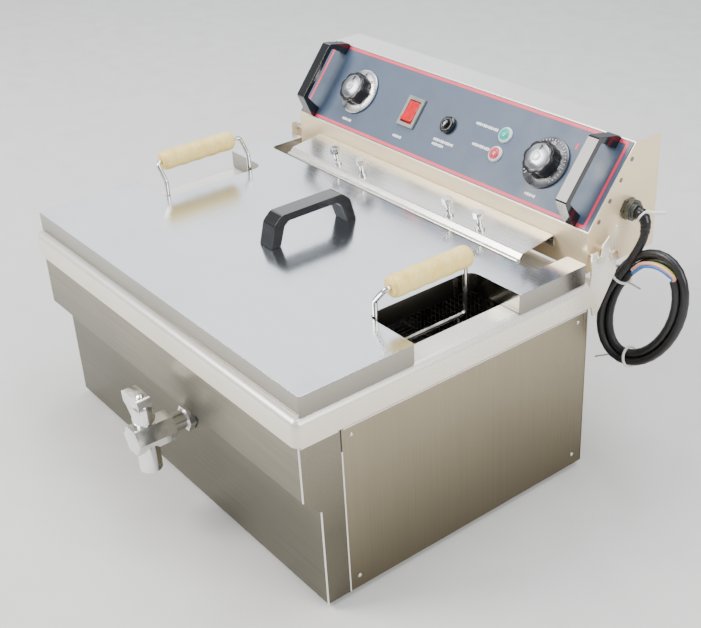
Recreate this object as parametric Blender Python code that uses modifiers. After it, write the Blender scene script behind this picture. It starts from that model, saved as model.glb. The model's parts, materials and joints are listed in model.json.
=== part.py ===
"""Counter-top electric deep fryer: a sheet-steel casing with a front drain tap, a lift-off control
head that carries the heating elements, a wire basket with two bails, and a loose lid with a handle.

The frame has X to the right, -Y to the front and +Z up. Lengths below are in millimetres, times MM.
Y is counted from the lower front panel, and the root empty moves all of it to the middle of the base.
"""

import math

import bmesh
import bpy
from mathutils import Matrix, Vector

MM = 0.001
MERGE = 0.001 * MM
GAP = 0.3 * MM  # between two pieces that touch
SHEET = 1.2 * MM

# Driving dimensions of the casing
HALF_WIDTH = 260 * MM
CASING_DEPTH = 354.6 * MM
FOOT_HEIGHT = 6 * MM
FRONT_RETURN = 28.2 * MM  # how far the front panel wraps round each side
APRON_OUT = 19.1 * MM
APRON_LOW = 140.4 * MM
CHAMFER_LOW = 120.1 * MM
BAND_LOW = 205.7 * MM
RIM_TOP = 234.3 * MM
RIM_OUT = 5.7 * MM  # how far the rim stands out past the side panels
RIM_FRONT = -25 * MM
RIM_REAR = 358 * MM
RIM_SHEET = 1.5 * MM
RIM_ROUND = 9 * MM
OPENING_X = 234 * MM
OPENING_FRONT = 10.4 * MM
OPENING_REAR = 327.6 * MM
TANK_FLOOR = 92 * MM
TANK_X = 233 * MM
TANK_FRONT = 12 * MM
TANK_REAR = 326 * MM

# Driving dimensions of the control head
HEAD_X = 252 * MM
HEAD_FRONT = 357.2 * MM
HEAD_REAR = 461.2 * MM
HEAD_BOTTOM = 238 * MM
HEAD_TOP = 365.8 * MM
PANEL_LOW = 284.2 * MM
PANEL_TILT = math.radians(51.2)
PANEL_LENGTH = (HEAD_TOP - PANEL_LOW) / math.sin(PANEL_TILT)
OVERLAY = 0.8 * MM

# The ears behind the rim, and the shoulder screws that hang the head in them
EAR_SLOTS = (361.9 * MM, 380.3 * MM)
SLOT_FLOOR = 255.9 * MM
SCREW_RADIUS = 2.5 * MM
SCREW_Z = SLOT_FLOOR + GAP + SCREW_RADIUS

# Lid, basket and bails
LID_X = 262.1 * MM
LID_FRONT = -15.6 * MM
LID_REAR = 346.3 * MM
LID_TOP = 256.5 * MM
SIDE_NOTCH = (116.5 * MM, 252.5 * MM)
SIDE_NOTCH_X = 190.3 * MM
REAR_NOTCH_X = 235.5 * MM
REAR_NOTCH_Y = 297.4 * MM
BASKET_X = 204.2 * MM
BASKET_Y = (67.6 * MM, 288.6 * MM)
BASKET_Z = (115 * MM, 209.5 * MM)
BASKET_WALL = 3 * MM
BAIL_WIRE = 2.75 * MM
BAIL_X = 197.6 * MM
BAIL_Y = (121.5 * MM, 237.9 * MM)
GRIP_X = 214.5 * MM
GRIP_Z = 292.5 * MM
GRIP_LENGTH = 105 * MM

# Drain tap, on the front panel
TAP_X = 22 * MM
TAP_Z = 107 * MM
TAP_NOSE = -71 * MM
VALVE_Y = -54 * MM
PIPE_RADIUS = 10.5 * MM

# Controls, each by its place on the sloping panel: across, and up the slope
KNOB_UP = 52 * MM
TIMER_X = -161 * MM
THERMOSTAT_X = 161 * MM
ROCKER_AT = (-60.3 * MM, 51 * MM)
ROCKER_TILT = math.radians(8)
RESET_AT = (5.2 * MM, 52 * MM)
PILOTS = {"power_pilot_lamp": (91 * MM, 64.5 * MM), "heat_pilot_lamp": (90.5 * MM, 41 * MM)}
HANDLE_X = 226.5 * MM
ROUND_HOLES = (((TIMER_X, KNOB_UP), 5 * MM), ((THERMOSTAT_X, KNOB_UP), 5 * MM), (RESET_AT, 7.3 * MM),
               (PILOTS["power_pilot_lamp"], 6.3 * MM), (PILOTS["heat_pilot_lamp"], 6.3 * MM))
ROCKER_HOLE = (11.3 * MM, 15.3 * MM)  # half its width, and half its height

# Heating elements and the cover over them
ELEMENT_RADIUS = 4 * MM
ELEMENT_LEGS = ((-150 * MM, -32 * MM), (32 * MM, 150 * MM))
ELEMENT_RUN_Z = 246 * MM
ELEMENT_LOOP_Z = 103 * MM
BULBS = {"thermostat_bulb": -9 * MM, "limiter_bulb": 9 * MM}
COVER_X = 206 * MM
COVER_REAR_Z = 267.6 * MM
COVER_BEND = (310.4 * MM, 261.1 * MM)
BOLT_PAIRS = (-95.5 * MM, 109.5 * MM)
BOLT_Y = 317.4 * MM

# Supply cord, at the right of the head
GLAND_Y = 416 * MM
GLAND_Z = 294.6 * MM
CORD_RADIUS = 4.5 * MM
CORD_START = 266.3 * MM
LEAD_ROUTE = ((CORD_START, 416 * MM, 294.6 * MM), (273 * MM, 415.8 * MM, 292.8 * MM),
              (278 * MM, 414.5 * MM, 286 * MM), (279.5 * MM, 412.5 * MM, 276 * MM),
              (278.5 * MM, 410 * MM, 265 * MM))
LEAD_SPACING = 11 * MM
COIL_CENTRE = Vector((287.5 * MM, 407 * MM, 191.7 * MM))
COIL_HALF = (49 * MM, 65.6 * MM)
COIL_SKEW = math.radians(25)
COIL_THICK = 9.8 * MM

# The root empty puts the origin under the middle of the object, tap nose to head rear
ORIGIN_Y = (TAP_NOSE + HEAD_REAR) / 2

FINISHES = {  # colour, metallic, roughness
    "steel": ((0.62, 0.60, 0.56), 1.0, 0.32),
    "rim": ((0.72, 0.71, 0.68), 1.0, 0.25),
    "lid": ((0.60, 0.62, 0.64), 1.0, 0.22),
    "chrome": ((0.80, 0.81, 0.82), 1.0, 0.10),
    "black": ((0.012, 0.012, 0.014), 0.0, 0.25),
    "rubber": ((0.02, 0.02, 0.02), 0.0, 0.7),
    "overlay": ((0.07, 0.09, 0.13), 0.0, 0.45),
    "grip": ((0.85, 0.74, 0.42), 0.0, 0.45),
    "red": ((0.70, 0.05, 0.05), 0.0, 0.2),
    "green": ((0.05, 0.45, 0.38), 0.0, 0.2),
    "element": ((0.20, 0.19, 0.18), 1.0, 0.45),
    "white": ((0.8, 0.8, 0.78), 0.0, 0.5),
}


def clear_scene():
    for obj in list(bpy.data.objects):
        bpy.data.objects.remove(obj, do_unlink=True)


def new_collection(name):
    collection = bpy.data.collections.new(name)
    bpy.context.scene.collection.children.link(collection)
    return collection


def new_empty(name, parent, location=(0, 0, 0), rotation=(0, 0, 0)):
    empty = bpy.data.objects.new(name, None)
    PARTS.objects.link(empty)
    empty.parent = parent
    empty.location = location
    empty.rotation_euler = rotation
    return empty


def new_material(name, finish):
    colour, metallic, roughness = FINISHES[finish]
    material = bpy.data.materials.new(name)
    material.use_nodes = True
    shader = material.node_tree.nodes["Principled BSDF"]
    shader.inputs["Base Color"].default_value = (*colour, 1)
    shader.inputs["Metallic"].default_value = metallic
    shader.inputs["Roughness"].default_value = roughness
    return material


def finish_mesh(name, bm, finish, parent, location=(0, 0, 0), smooth=False):
    """Turns a bmesh into a part, or into a cutter where finish is None."""
    bmesh.ops.remove_doubles(bm, verts=bm.verts, dist=MERGE)
    bmesh.ops.recalc_face_normals(bm, faces=bm.faces)
    mesh = bpy.data.meshes.new(name)
    bm.to_mesh(mesh)
    bm.free()
    if smooth:
        mesh.shade_smooth()
        mesh.set_sharp_from_angle(angle=math.radians(35))
    obj = bpy.data.objects.new(name, mesh)
    obj.parent = parent
    obj.location = location
    if finish is None:
        CUTTERS.objects.link(obj)
        obj.hide_render = True
        obj.display_type = "WIRE"
    else:
        PARTS.objects.link(obj)
        mesh.materials.append(new_material(name, finish))
    return obj


def evaluated_bmesh(source, turn=Matrix()):
    """The evaluated mesh of a helper object, turned, as a bmesh. The helper is removed."""
    bpy.context.scene.collection.objects.link(source)
    graph = bpy.context.evaluated_depsgraph_get()
    mesh = bpy.data.meshes.new_from_object(source.evaluated_get(graph))
    bm = bmesh.new()
    bm.from_mesh(mesh)
    bmesh.ops.transform(bm, matrix=turn, verts=bm.verts)
    bpy.data.meshes.remove(mesh)
    bpy.data.objects.remove(source, do_unlink=True)
    return bm


def box(name, low, high, finish, parent, **options):
    low, high = Vector(low), Vector(high)
    bm = bmesh.new()
    bmesh.ops.create_cube(bm, size=1)
    bmesh.ops.scale(bm, vec=high - low, verts=bm.verts)
    bmesh.ops.translate(bm, vec=(low + high) / 2, verts=bm.verts)
    return finish_mesh(name, bm, finish, parent, **options)


def rounded_box(name, low, high, radius, picks, finish, parent):
    """A box with a round on every edge whose middle satisfies picks(x, y, z)."""
    low, high = Vector(low), Vector(high)
    bm = bmesh.new()
    bmesh.ops.create_cube(bm, size=1)
    bmesh.ops.scale(bm, vec=high - low, verts=bm.verts)
    bmesh.ops.translate(bm, vec=(low + high) / 2, verts=bm.verts)
    edges = [e for e in bm.edges if picks(*((e.verts[0].co + e.verts[1].co) / 2))]
    bmesh.ops.bevel(bm, geom=edges, offset=radius, segments=5, profile=0.5, affect="EDGES")
    return finish_mesh(name, bm, finish, parent, smooth=True)


def rod(name, start, end, radius, finish, parent, sides=32, **options):
    """A cylinder from start to end; six sides make a hexagon with a flat facing up."""
    start, end = Vector(start), Vector(end)
    bm = bmesh.new()
    bmesh.ops.create_cone(bm, cap_ends=True, segments=sides, radius1=radius, radius2=radius,
                          depth=(end - start).length)
    bmesh.ops.rotate(bm, matrix=Matrix.Rotation(math.radians(180 / sides), 3, "Z"), verts=bm.verts)
    turn = (end - start).to_track_quat("Z", "Y").to_matrix().to_4x4()
    bmesh.ops.transform(bm, matrix=Matrix.Translation((start + end) / 2) @ turn, verts=bm.verts)
    return finish_mesh(name, bm, finish, parent, smooth=sides > 8, **options)


def round_corners(points, radius, steps=4, closed=True):
    """The polyline with each corner replaced by an arc. A single radius serves all corners."""
    points = [Vector(p).to_3d() for p in points]
    radii = radius if isinstance(radius, (list, tuple)) else [radius] * len(points)
    result = []
    for i, corner in enumerate(points):
        if radii[i] == 0 or (not closed and i in (0, len(points) - 1)):
            result.append(corner)
            continue
        before = (points[i - 1] - corner).normalized()
        after = (points[(i + 1) % len(points)] - corner).normalized()
        half = before.angle(after) / 2
        centre = corner + (before + after).normalized() * radii[i] / math.sin(half)
        first = corner + before * radii[i] / math.tan(half) - centre
        last = corner + after * radii[i] / math.tan(half) - centre
        sweep = first.angle(last)
        for k in range(steps + 1):
            part = k / steps
            blend = (first * math.sin((1 - part) * sweep) + last * math.sin(part * sweep))
            result.append(centre + blend / math.sin(sweep))
    return result


TURNS = {  # which way an outline's own x, y and extrusion point
    "X": Matrix(((0, 0, 1, 0), (1, 0, 0, 0), (0, 1, 0, 0), (0, 0, 0, 1))),
    "Y": Matrix(((1, 0, 0, 0), (0, 0, -1, 0), (0, 1, 0, 0), (0, 0, 0, 1))),
    "Z": Matrix(),
}


def prism(name, loops, axis, low, high, finish, parent, smooth=False, **options):
    """A flat outline, with its holes after it, extruded along an axis from low to high."""
    curve = bpy.data.curves.new(name + "_outline", "CURVE")
    curve.dimensions = "2D"
    curve.fill_mode = "BOTH"
    curve.extrude = (high - low) / 2
    for loop in loops:
        spline = curve.splines.new("POLY")
        spline.points.add(len(loop) - 1)
        for point, spot in zip(spline.points, loop):
            point.co = (spot[0], spot[1], 0, 1)
        spline.use_cyclic_u = True
    helper = bpy.data.objects.new(name + "_outline", curve)
    shift = Vector((0, 0, 0))
    shift["XYZ".index(axis)] = (low + high) / 2
    bm = evaluated_bmesh(helper, Matrix.Translation(shift) @ TURNS[axis])
    return finish_mesh(name, bm, finish, parent, smooth=smooth, **options)


def turned(name, profile, finish, parent, sides=32, **options):
    """A profile of (radius, height) points, outer side top to bottom, turned about Z."""
    mesh = bpy.data.meshes.new(name + "_profile")
    edges = [(i, i + 1) for i in range(len(profile) - 1)]
    if profile[0][0] > 0:
        edges.append((len(profile) - 1, 0))
    mesh.from_pydata([(r, 0, z) for r, z in profile], edges, [])
    helper = bpy.data.objects.new(name + "_profile", mesh)
    screw = helper.modifiers.new("turn", "SCREW")
    screw.steps = sides
    screw.render_steps = sides
    screw.use_merge_vertices = True
    screw.merge_threshold = MERGE
    return finish_mesh(name, evaluated_bmesh(helper), finish, parent, smooth=True, **options)


def tube(name, points, radius, finish, parent, resolution=2, closed=False, widths=None, **options):
    """A round wire along a polyline. widths scales its radius at each point."""
    curve = bpy.data.curves.new(name + "_path", "CURVE")
    curve.dimensions = "3D"
    curve.bevel_depth = radius
    curve.bevel_resolution = resolution
    curve.use_fill_caps = True
    spline = curve.splines.new("POLY")
    spline.points.add(len(points) - 1)
    for i, spot in enumerate(points):
        spline.points[i].co = (*spot, 1)
        spline.points[i].radius = widths[i] if widths else 1
    spline.use_cyclic_u = closed
    helper = bpy.data.objects.new(name + "_path", curve)
    return finish_mesh(name, evaluated_bmesh(helper), finish, parent, smooth=True, **options)


def circle(x, y, radius, sides=24):
    turn = 2 * math.pi / sides
    return [(x + radius * math.cos(i * turn), y + radius * math.sin(i * turn)) for i in range(sides)]


def rectangle(x0, y0, x1, y1):
    return [(x0, y0), (x1, y0), (x1, y1), (x0, y1)]


def strip(path, thickness):
    """The closed outline of a sheet that follows a path, its thickness to the path's left."""
    path = [Vector(p).to_2d() for p in path]
    other = []
    for i, point in enumerate(path):
        ways = []
        if i:
            ways.append((point - path[i - 1]).normalized())
        if i < len(path) - 1:
            ways.append((path[i + 1] - point).normalized())
        sides = [Vector((-way.y, way.x)) for way in ways]
        mean = sum(sides, Vector((0, 0))).normalized()
        other.append(point + mean * thickness / mean.dot(sides[0]))
    return path + other[::-1]


def boolean(obj, other, operation):
    modifier = obj.modifiers.new(other.name, "BOOLEAN")
    modifier.operation = operation
    modifier.object = other
    return modifier


def cut(obj, *cutters):
    for cutter in cutters:
        boolean(obj, cutter, "DIFFERENCE")


def unite(obj, *others):
    for other in others:
        boolean(obj, other, "UNION")


def smooth_path(route, spacing):
    """Points at about this spacing on a Catmull-Rom curve through the route's own points."""
    route = [Vector(p) for p in route]
    ends = [2 * route[0] - route[1], *route, 2 * route[-1] - route[-2]]
    points = []
    for a, b, c, d in zip(ends, ends[1:], ends[2:], ends[3:]):
        count = max(1, round((c - b).length / spacing))
        for k in range(count):
            t = k / count
            cubic = (3 * b - a - 3 * c + d) * t ** 3 + (2 * a - 5 * b + 4 * c - d) * t ** 2
            points.append((cubic + (c - a) * t) / 2 + b)
    return points + [route[-1]]


def make_feet():
    for side, x in (("left", -235 * MM), ("right", 235 * MM)):
        for end, y in (("front", 30 * MM), ("rear", 325 * MM)):
            top = FOOT_HEIGHT + 1 * MM - GAP
            rod(f"foot_{end}_{side}", (x, y, 0), (x, y, top), 10 * MM, "rubber", ROOT, sides=20)


def make_base_plate():
    x = HALF_WIDTH - SHEET - GAP
    z = FOOT_HEIGHT + 1 * MM
    y1 = CASING_DEPTH - SHEET - GAP
    box("base_plate", (-x, SHEET + GAP, z), (x, y1, z + SHEET), "steel", ROOT)


def make_front_panel():
    """One sheet with the apron's step in front, folded back along both sides."""
    top = 230 * MM
    outer = [(0, FOOT_HEIGHT), (FRONT_RETURN, FOOT_HEIGHT), (FRONT_RETURN, top),
             (-APRON_OUT, top), (-APRON_OUT, APRON_LOW), (0, CHAMFER_LOW)]
    far = 50 * MM
    inner = [(SHEET, -far), (FRONT_RETURN + far, -far), (FRONT_RETURN + far, top + far),
             (-APRON_OUT + SHEET, top + far), (-APRON_OUT + SHEET, APRON_LOW + 0.5 * MM),
             (SHEET, CHAMFER_LOW + 0.5 * MM)]
    panel = prism("front_panel", [outer], "X", -HALF_WIDTH, HALF_WIDTH, "steel", ROOT)
    x = HALF_WIDTH - SHEET
    hole = rod("front_panel_tap_hole", (TAP_X, -10 * MM, TAP_Z), (TAP_X, 10 * MM, TAP_Z),
               PIPE_RADIUS + GAP, None, ROOT)
    cut(panel, prism("front_panel_inside", [inner], "X", -x, x, None, ROOT), hole)


def make_side_panels():
    """A flat sheet whose top edge rolls inward just under the rim's band."""
    for name, side in (("side_panel_left", -1), ("side_panel_right", 1)):
        top = BAND_LOW - 1.5 * MM
        path = [(side * HALF_WIDTH, FOOT_HEIGHT), (side * HALF_WIDTH, top), (side * 246 * MM, top)]
        path = round_corners(path, 6 * MM, closed=False)
        outline = strip(path, SHEET * side)
        rear = CASING_DEPTH - SHEET - GAP
        prism(name, [outline], "Y", FRONT_RETURN + GAP, rear, "steel", ROOT, smooth=True)


def make_back_panel():
    y = CASING_DEPTH - SHEET
    box("back_panel", (-HALF_WIDTH, y, FOOT_HEIGHT), (HALF_WIDTH, CASING_DEPTH, 225 * MM), "steel", ROOT)


def ear_outline():
    """An ear in the YZ plane: a tail below the band, and two slots that are open at the top."""
    half = SCREW_RADIUS + 0.75 * MM
    first, second = EAR_SLOTS
    rear = second + half + 3.5 * MM
    return [(346 * MM, 207 * MM), (352 * MM, 207 * MM), (355.2 * MM, 194.3 * MM),
            (360.9 * MM, 194.3 * MM), (rear, 236 * MM), (rear, 288 * MM),
            (rear - 1.5 * MM, 289.7 * MM), (second + half, 288 * MM),
            (second + half, SLOT_FLOOR), (second - half, SLOT_FLOOR),
            (second - half, 279 * MM), (second - half - 2 * MM, 280.6 * MM),
            (first + half, 272 * MM), (first + half, SLOT_FLOOR), (first - half, SLOT_FLOOR),
            (first - half, 267.8 * MM), (350 * MM, 267.8 * MM), (350 * MM, 226 * MM),
            (346 * MM, 226 * MM)]


def make_rim_frame():
    """The rounded band and ledge round the tank, in one piece with the two ears behind it."""
    x = HALF_WIDTH + RIM_OUT

    def rounds(px, py, pz):
        """The top edges and the upright edges at the front, but none at the rear."""
        return py < 300 * MM and (pz > 225 * MM or (py < 0 and abs(px) > 200 * MM))

    rim = rounded_box("rim_frame", (-x, RIM_FRONT, BAND_LOW), (x, RIM_REAR, RIM_TOP), RIM_ROUND,
                      rounds, "rim", ROOT)
    wall = RIM_SHEET
    inside = rounded_box("rim_frame_inside", (-x + wall, RIM_FRONT + wall, BAND_LOW - 40 * MM),
                         (x - wall, RIM_REAR - wall, RIM_TOP - wall), RIM_ROUND - wall,
                         rounds, None, ROOT)
    opening = rectangle(-OPENING_X, OPENING_FRONT, OPENING_X, OPENING_REAR)
    opening = round_corners(opening, 18 * MM)
    cut(rim, inside,
        prism("rim_frame_opening", [opening], "Z", RIM_TOP - 20 * MM, RIM_TOP + 20 * MM, None, ROOT))
    proud = 0.2 * MM
    for name, side in (("ear_left", -1), ("ear_right", 1)):
        low, high = sorted((side * (x - wall - proud), side * (x + proud)))
        unite(rim, prism(name, [ear_outline()], "X", low, high, None, ROOT))


def make_oil_tank():
    flange_top = RIM_TOP - RIM_SHEET - GAP
    outer = round_corners(rectangle(-TANK_X, TANK_FRONT, TANK_X, TANK_REAR), 18 * MM)
    inner = round_corners(rectangle(-TANK_X + SHEET, TANK_FRONT + SHEET, TANK_X - SHEET,
                                    TANK_REAR - SHEET), 16.8 * MM)
    flange = rectangle(-TANK_X - 12 * MM, 2 * MM, TANK_X + 12 * MM, TANK_REAR + 14 * MM)
    tank = prism("oil_tank", [outer], "Z", TANK_FLOOR, flange_top - 0.4 * MM, "steel", ROOT,
                 smooth=True)
    unite(tank, prism("tank_flange", [flange], "Z", flange_top - SHEET, flange_top, None, ROOT))
    hole = rod("tank_drain_hole", (TAP_X, -30 * MM, TAP_Z), (TAP_X, 30 * MM, TAP_Z),
               PIPE_RADIUS + GAP, None, ROOT)
    cut(tank, prism("tank_inside", [inner], "Z", TANK_FLOOR + SHEET, RIM_TOP, None, ROOT), hole)


def make_drain_tap():
    """A plug cock: turning the lever through a quarter lines its L-shaped port up with the pipe."""
    rear = -25 * MM
    bore = 7.5 * MM
    axis = Vector((TAP_X, VALVE_Y, 0))

    pipe = rod("drain_pipe", (TAP_X, rear, TAP_Z), (TAP_X, 13.5 * MM, TAP_Z), PIPE_RADIUS,
               "steel", ROOT)
    cut(pipe, rod("pipe_bore", (TAP_X, rear - 9 * MM, TAP_Z), (TAP_X, 30 * MM, TAP_Z), bore,
                  None, ROOT, sides=24))
    nut = rod("tap_lock_nut", (TAP_X, -GAP - 8 * MM, TAP_Z), (TAP_X, -GAP, TAP_Z), 15 * MM,
              "chrome", ROOT, sides=6)
    cut(nut, rod("nut_bore", (TAP_X, -20 * MM, TAP_Z), (TAP_X, 20 * MM, TAP_Z),
                 PIPE_RADIUS + GAP, None, ROOT))

    valve = new_empty("valve_axis", ROOT, axis)
    plug_low, plug_high = 94.8 * MM, 119.2 * MM
    body = rod("tap_body", (TAP_X, TAP_NOSE, TAP_Z), (TAP_X, rear - GAP, TAP_Z), 17.3 * MM,
               "chrome", ROOT, sides=6)
    unite(body,
          rod("tap_outlet", (0, 0, 66 * MM), (0, 0, TAP_Z), 12.5 * MM, None, valve),
          rod("tap_boss", (0, 0, 117 * MM), (0, 0, 126 * MM), 8.5 * MM, None, valve, sides=24))
    cut(body,
        rod("plug_seat", (0, 0, plug_low - GAP), (0, 0, plug_high + GAP), 10 * MM, None, valve),
        rod("stem_hole", (0, 0, TAP_Z), (0, 0, 140 * MM), 5 * MM, None, valve, sides=24),
        rod("outlet_bore", (0, 0, 50 * MM), (0, 0, 105 * MM), bore, None, valve, sides=24),
        rod("inlet_bore", (0, 0, TAP_Z), (0, 50 * MM, TAP_Z), bore - 0.4 * MM, None, valve,
            sides=24))

    plug = rod("tap_plug", (0, 0, plug_low), (0, 0, plug_high), 9.7 * MM, "chrome", valve)
    unite(plug, rod("plug_stem", (0, 0, 115 * MM), (0, 0, 138 * MM), 4.7 * MM, None, valve, sides=24))
    cut(plug,
        rod("plug_side_port", (0, 0, TAP_Z), (30 * MM, 0, TAP_Z), 6.5 * MM, None, valve, sides=20),
        rod("plug_low_port", (0, 0, 80 * MM), (0, 0, TAP_Z + 2 * MM), 6.9 * MM, None, valve, sides=20))

    low = 126.4 * MM
    top = 155 * MM
    side = [(8, 1), (9, 22), (6, 28.6), (-24, 28.6), (-27, 26.6), (-26, 15), (-20, 11.5), (-11, 1)]
    side = [(x * MM, low + z * MM) for x, z in side]
    side = round_corners(side, [1 * MM, 4 * MM, 3 * MM, 1.5 * MM, 1.5 * MM, 2 * MM, 3 * MM, 3 * MM], 3)
    lever = prism("tap_lever", [side], "Y", -8 * MM, 8 * MM, "chrome", valve, smooth=True)
    unite(lever, turned("lever_hub", [(0, 146 * MM), (9.4 * MM, 146 * MM), (11.4 * MM, 143 * MM),
                                      (12.4 * MM, 130 * MM), (12 * MM, low), (0, low)], None, valve,
                        sides=32))
    cut(lever,
        rod("lever_socket", (0, 0, 120 * MM), (0, 0, 138.3 * MM), 5 * MM, None, valve, sides=24),
        rod("lever_screw_hole", (0, 0, 130 * MM), (0, 0, top + 9 * MM), 2.3 * MM, None, valve,
            sides=16))
    seat = top + GAP
    turned("tap_lever_screw", [(0, seat + 3 * MM), (2.6 * MM, seat + 2.6 * MM), (4.4 * MM, seat + 1.2 * MM),
                               (4.4 * MM, seat), (2 * MM, seat), (2 * MM, 138.6 * MM),
                               (0, 138.6 * MM)], "steel", valve, sides=16)


def make_head_shell():
    """Front wall, sloping panel, roof and two ends in folded sheet, open at the rear and below."""
    slope_top = HEAD_FRONT + PANEL_LENGTH * math.cos(PANEL_TILT)
    outer = [(HEAD_FRONT, HEAD_BOTTOM), (HEAD_REAR, HEAD_BOTTOM), (HEAD_REAR, HEAD_TOP),
             (slope_top, HEAD_TOP), (HEAD_FRONT, PANEL_LOW)]
    bend = SHEET * math.tan(PANEL_TILT / 2)
    far = 30 * MM
    inner = [(HEAD_FRONT + SHEET, HEAD_BOTTOM - far), (HEAD_REAR + far, HEAD_BOTTOM - far),
             (HEAD_REAR + far, HEAD_TOP - SHEET), (slope_top + bend, HEAD_TOP - SHEET),
             (HEAD_FRONT + SHEET, PANEL_LOW - SHEET * math.tan(math.pi / 4 - PANEL_TILT / 2))]
    shell = prism("head_shell", [outer], "X", -HEAD_X, HEAD_X, "steel", ROOT)
    x = HEAD_X - SHEET
    cut(shell, prism("head_inside", [inner], "X", -x, x, None, ROOT))

    far = 12 * MM
    for spot, radius in ROUND_HOLES:
        cut(shell, rod("panel_hole", (*spot, -far), (*spot, far), radius, None, PANEL, sides=24))
    x, up = ROCKER_AT
    across, high = ROCKER_HOLE
    cut(shell, box("rocker_hole", (x - across, up - high, -far), (x + across, up + high, far),
                   None, PANEL))
    near = HEAD_FRONT - far
    for x in [leg for legs in ELEMENT_LEGS for leg in legs]:
        cut(shell, rod("element_hole", (x, near, ELEMENT_RUN_Z), (x, near + 2 * far, ELEMENT_RUN_Z),
                       ELEMENT_RADIUS + GAP, None, ROOT, sides=16))
    for x in BULBS.values():
        cut(shell, rod("bulb_hole", (x, near, ELEMENT_RUN_Z), (x, near + 2 * far, ELEMENT_RUN_Z),
                       1.8 * MM, None, ROOT, sides=12))
    cut(shell, rod("gland_hole", (HEAD_X - far, GLAND_Y, GLAND_Z), (HEAD_X + far, GLAND_Y, GLAND_Z),
                   10 * MM, None, ROOT, sides=24))
    for side in (-1, 1):
        for y in EAR_SLOTS:
            cut(shell, rod("screw_hole", (side * (HEAD_X - far), y, SCREW_Z),
                           (side * (HEAD_X + far), y, SCREW_Z), SCREW_RADIUS + GAP, None, ROOT,
                           sides=16))


def make_head_back_cover():
    """An L of sheet that closes the head's underside and rear."""
    low = HEAD_BOTTOM + GAP
    rear = HEAD_REAR - GAP
    path = [(HEAD_FRONT + SHEET + GAP, low), (rear, low), (rear, HEAD_TOP - SHEET - GAP)]
    x = HEAD_X - SHEET - GAP
    prism("head_back_cover", [strip(path, SHEET)], "X", -x, x, "steel", ROOT)


def make_shoulder_screws():
    for side, sign in (("left", -1), ("right", 1)):
        for end, y in zip(("front", "rear"), EAR_SLOTS):
            inner = HEAD_X - 6 * MM
            outer = HALF_WIDTH + RIM_OUT + 0.7 * MM
            place = (0, y, SCREW_Z)
            screw = rod(f"head_screw_{end}_{side}", (sign * inner, 0, 0), (sign * (outer + 1 * MM), 0, 0),
                        SCREW_RADIUS, "chrome", ROOT, sides=16, location=place)
            unite(screw, rod("screw_head", (sign * outer, 0, 0), (sign * (outer + 3.2 * MM), 0, 0),
                             4.6 * MM, None, ROOT, sides=20, location=place))


def make_panel_overlay():
    """The printed sheet on the sloping panel, cut out round each control."""
    x, up = ROCKER_AT
    across, high = ROCKER_HOLE
    holes = [rectangle(x - across, up - high, x + across, up + high)]
    holes += [circle(*spot, radius) for spot, radius in ROUND_HOLES]
    edge = 1.5 * MM
    sheet = rectangle(-HEAD_X + edge, edge, HEAD_X - edge, PANEL_LENGTH - edge)
    prism("panel_overlay", [sheet, *holes], "Z", GAP, GAP + OVERLAY, "overlay", PANEL)


def knob_outline(radius, lobes, depth, steps):
    points = []
    for i in range(steps):
        turn = 2 * math.pi * i / steps
        reach = radius - depth * (0.5 - 0.5 * math.cos(lobes * turn)) ** 2
        points.append((reach * math.cos(turn), reach * math.sin(turn)))
    return points


def make_knob(name, x):
    """A scalloped grip on a round skirt, with a socket for the shaft."""
    low = 2.3 * MM
    place = (x, KNOB_UP, 0)
    knob = turned(name, [(0, low + 20.5 * MM), (13 * MM, low + 20.5 * MM), (16.5 * MM, low + 18 * MM),
                         (17 * MM, low + 4 * MM), (26 * MM, low + 3 * MM), (29 * MM, low + 1.6 * MM),
                         (29 * MM, low), (0, low)], "black", PANEL, sides=36, location=place)
    unite(knob, prism(name + "_grip", [knob_outline(20.5 * MM, 8, 2.2 * MM, 48)], "Z", low + 2 * MM,
                      low + 17 * MM, None, PANEL, location=place))
    cut(knob, rod(name + "_socket", (0, 0, -1 * MM), (0, 0, 14 * MM), 3.4 * MM, None, PANEL,
                  sides=20, location=place))


def make_shaft_control(name, x, width, depth, finish):
    """A timer or thermostat behind the panel, with its shaft through it."""
    back = -SHEET - GAP
    body = box(name, (x - width / 2, KNOB_UP - width / 2, back - depth),
               (x + width / 2, KNOB_UP + width / 2, back), finish, PANEL)
    unite(body, rod(name + "_shaft", (x, KNOB_UP, -5 * MM), (x, KNOB_UP, 13 * MM), 3.05 * MM, None,
                    PANEL, sides=20))


def make_rocker_switch():
    """A framed switch body with an open front, and the rocker that tips in it."""
    x, up = ROCKER_AT
    face = GAP + OVERLAY + GAP
    body = box("switch_body", (x - 14.3 * MM, up - 19 * MM, face), (x + 14.3 * MM, up + 19 * MM, face + 3 * MM),
               "black", PANEL)
    unite(body, box("switch_can", (x - 11 * MM, up - 15 * MM, -24 * MM),
                    (x + 11 * MM, up + 15 * MM, face + 1 * MM), None, PANEL))
    cut(body, box("switch_well", (x - 9.8 * MM, up - 14.2 * MM, -10 * MM),
                  (x + 9.8 * MM, up + 14.2 * MM, 20 * MM), None, PANEL))
    profile = [(-13 * MM, -4 * MM), (13 * MM, -4 * MM), (13 * MM, 6 * MM), (0, 4.4 * MM),
               (-13 * MM, 6 * MM)]
    rocker = prism("power_rocker", [profile], "X", -9.5 * MM, 9.5 * MM, "red", PANEL,
                   location=(x, up, 0))
    rocker.rotation_euler = (-ROCKER_TILT, 0, 0)


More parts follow.
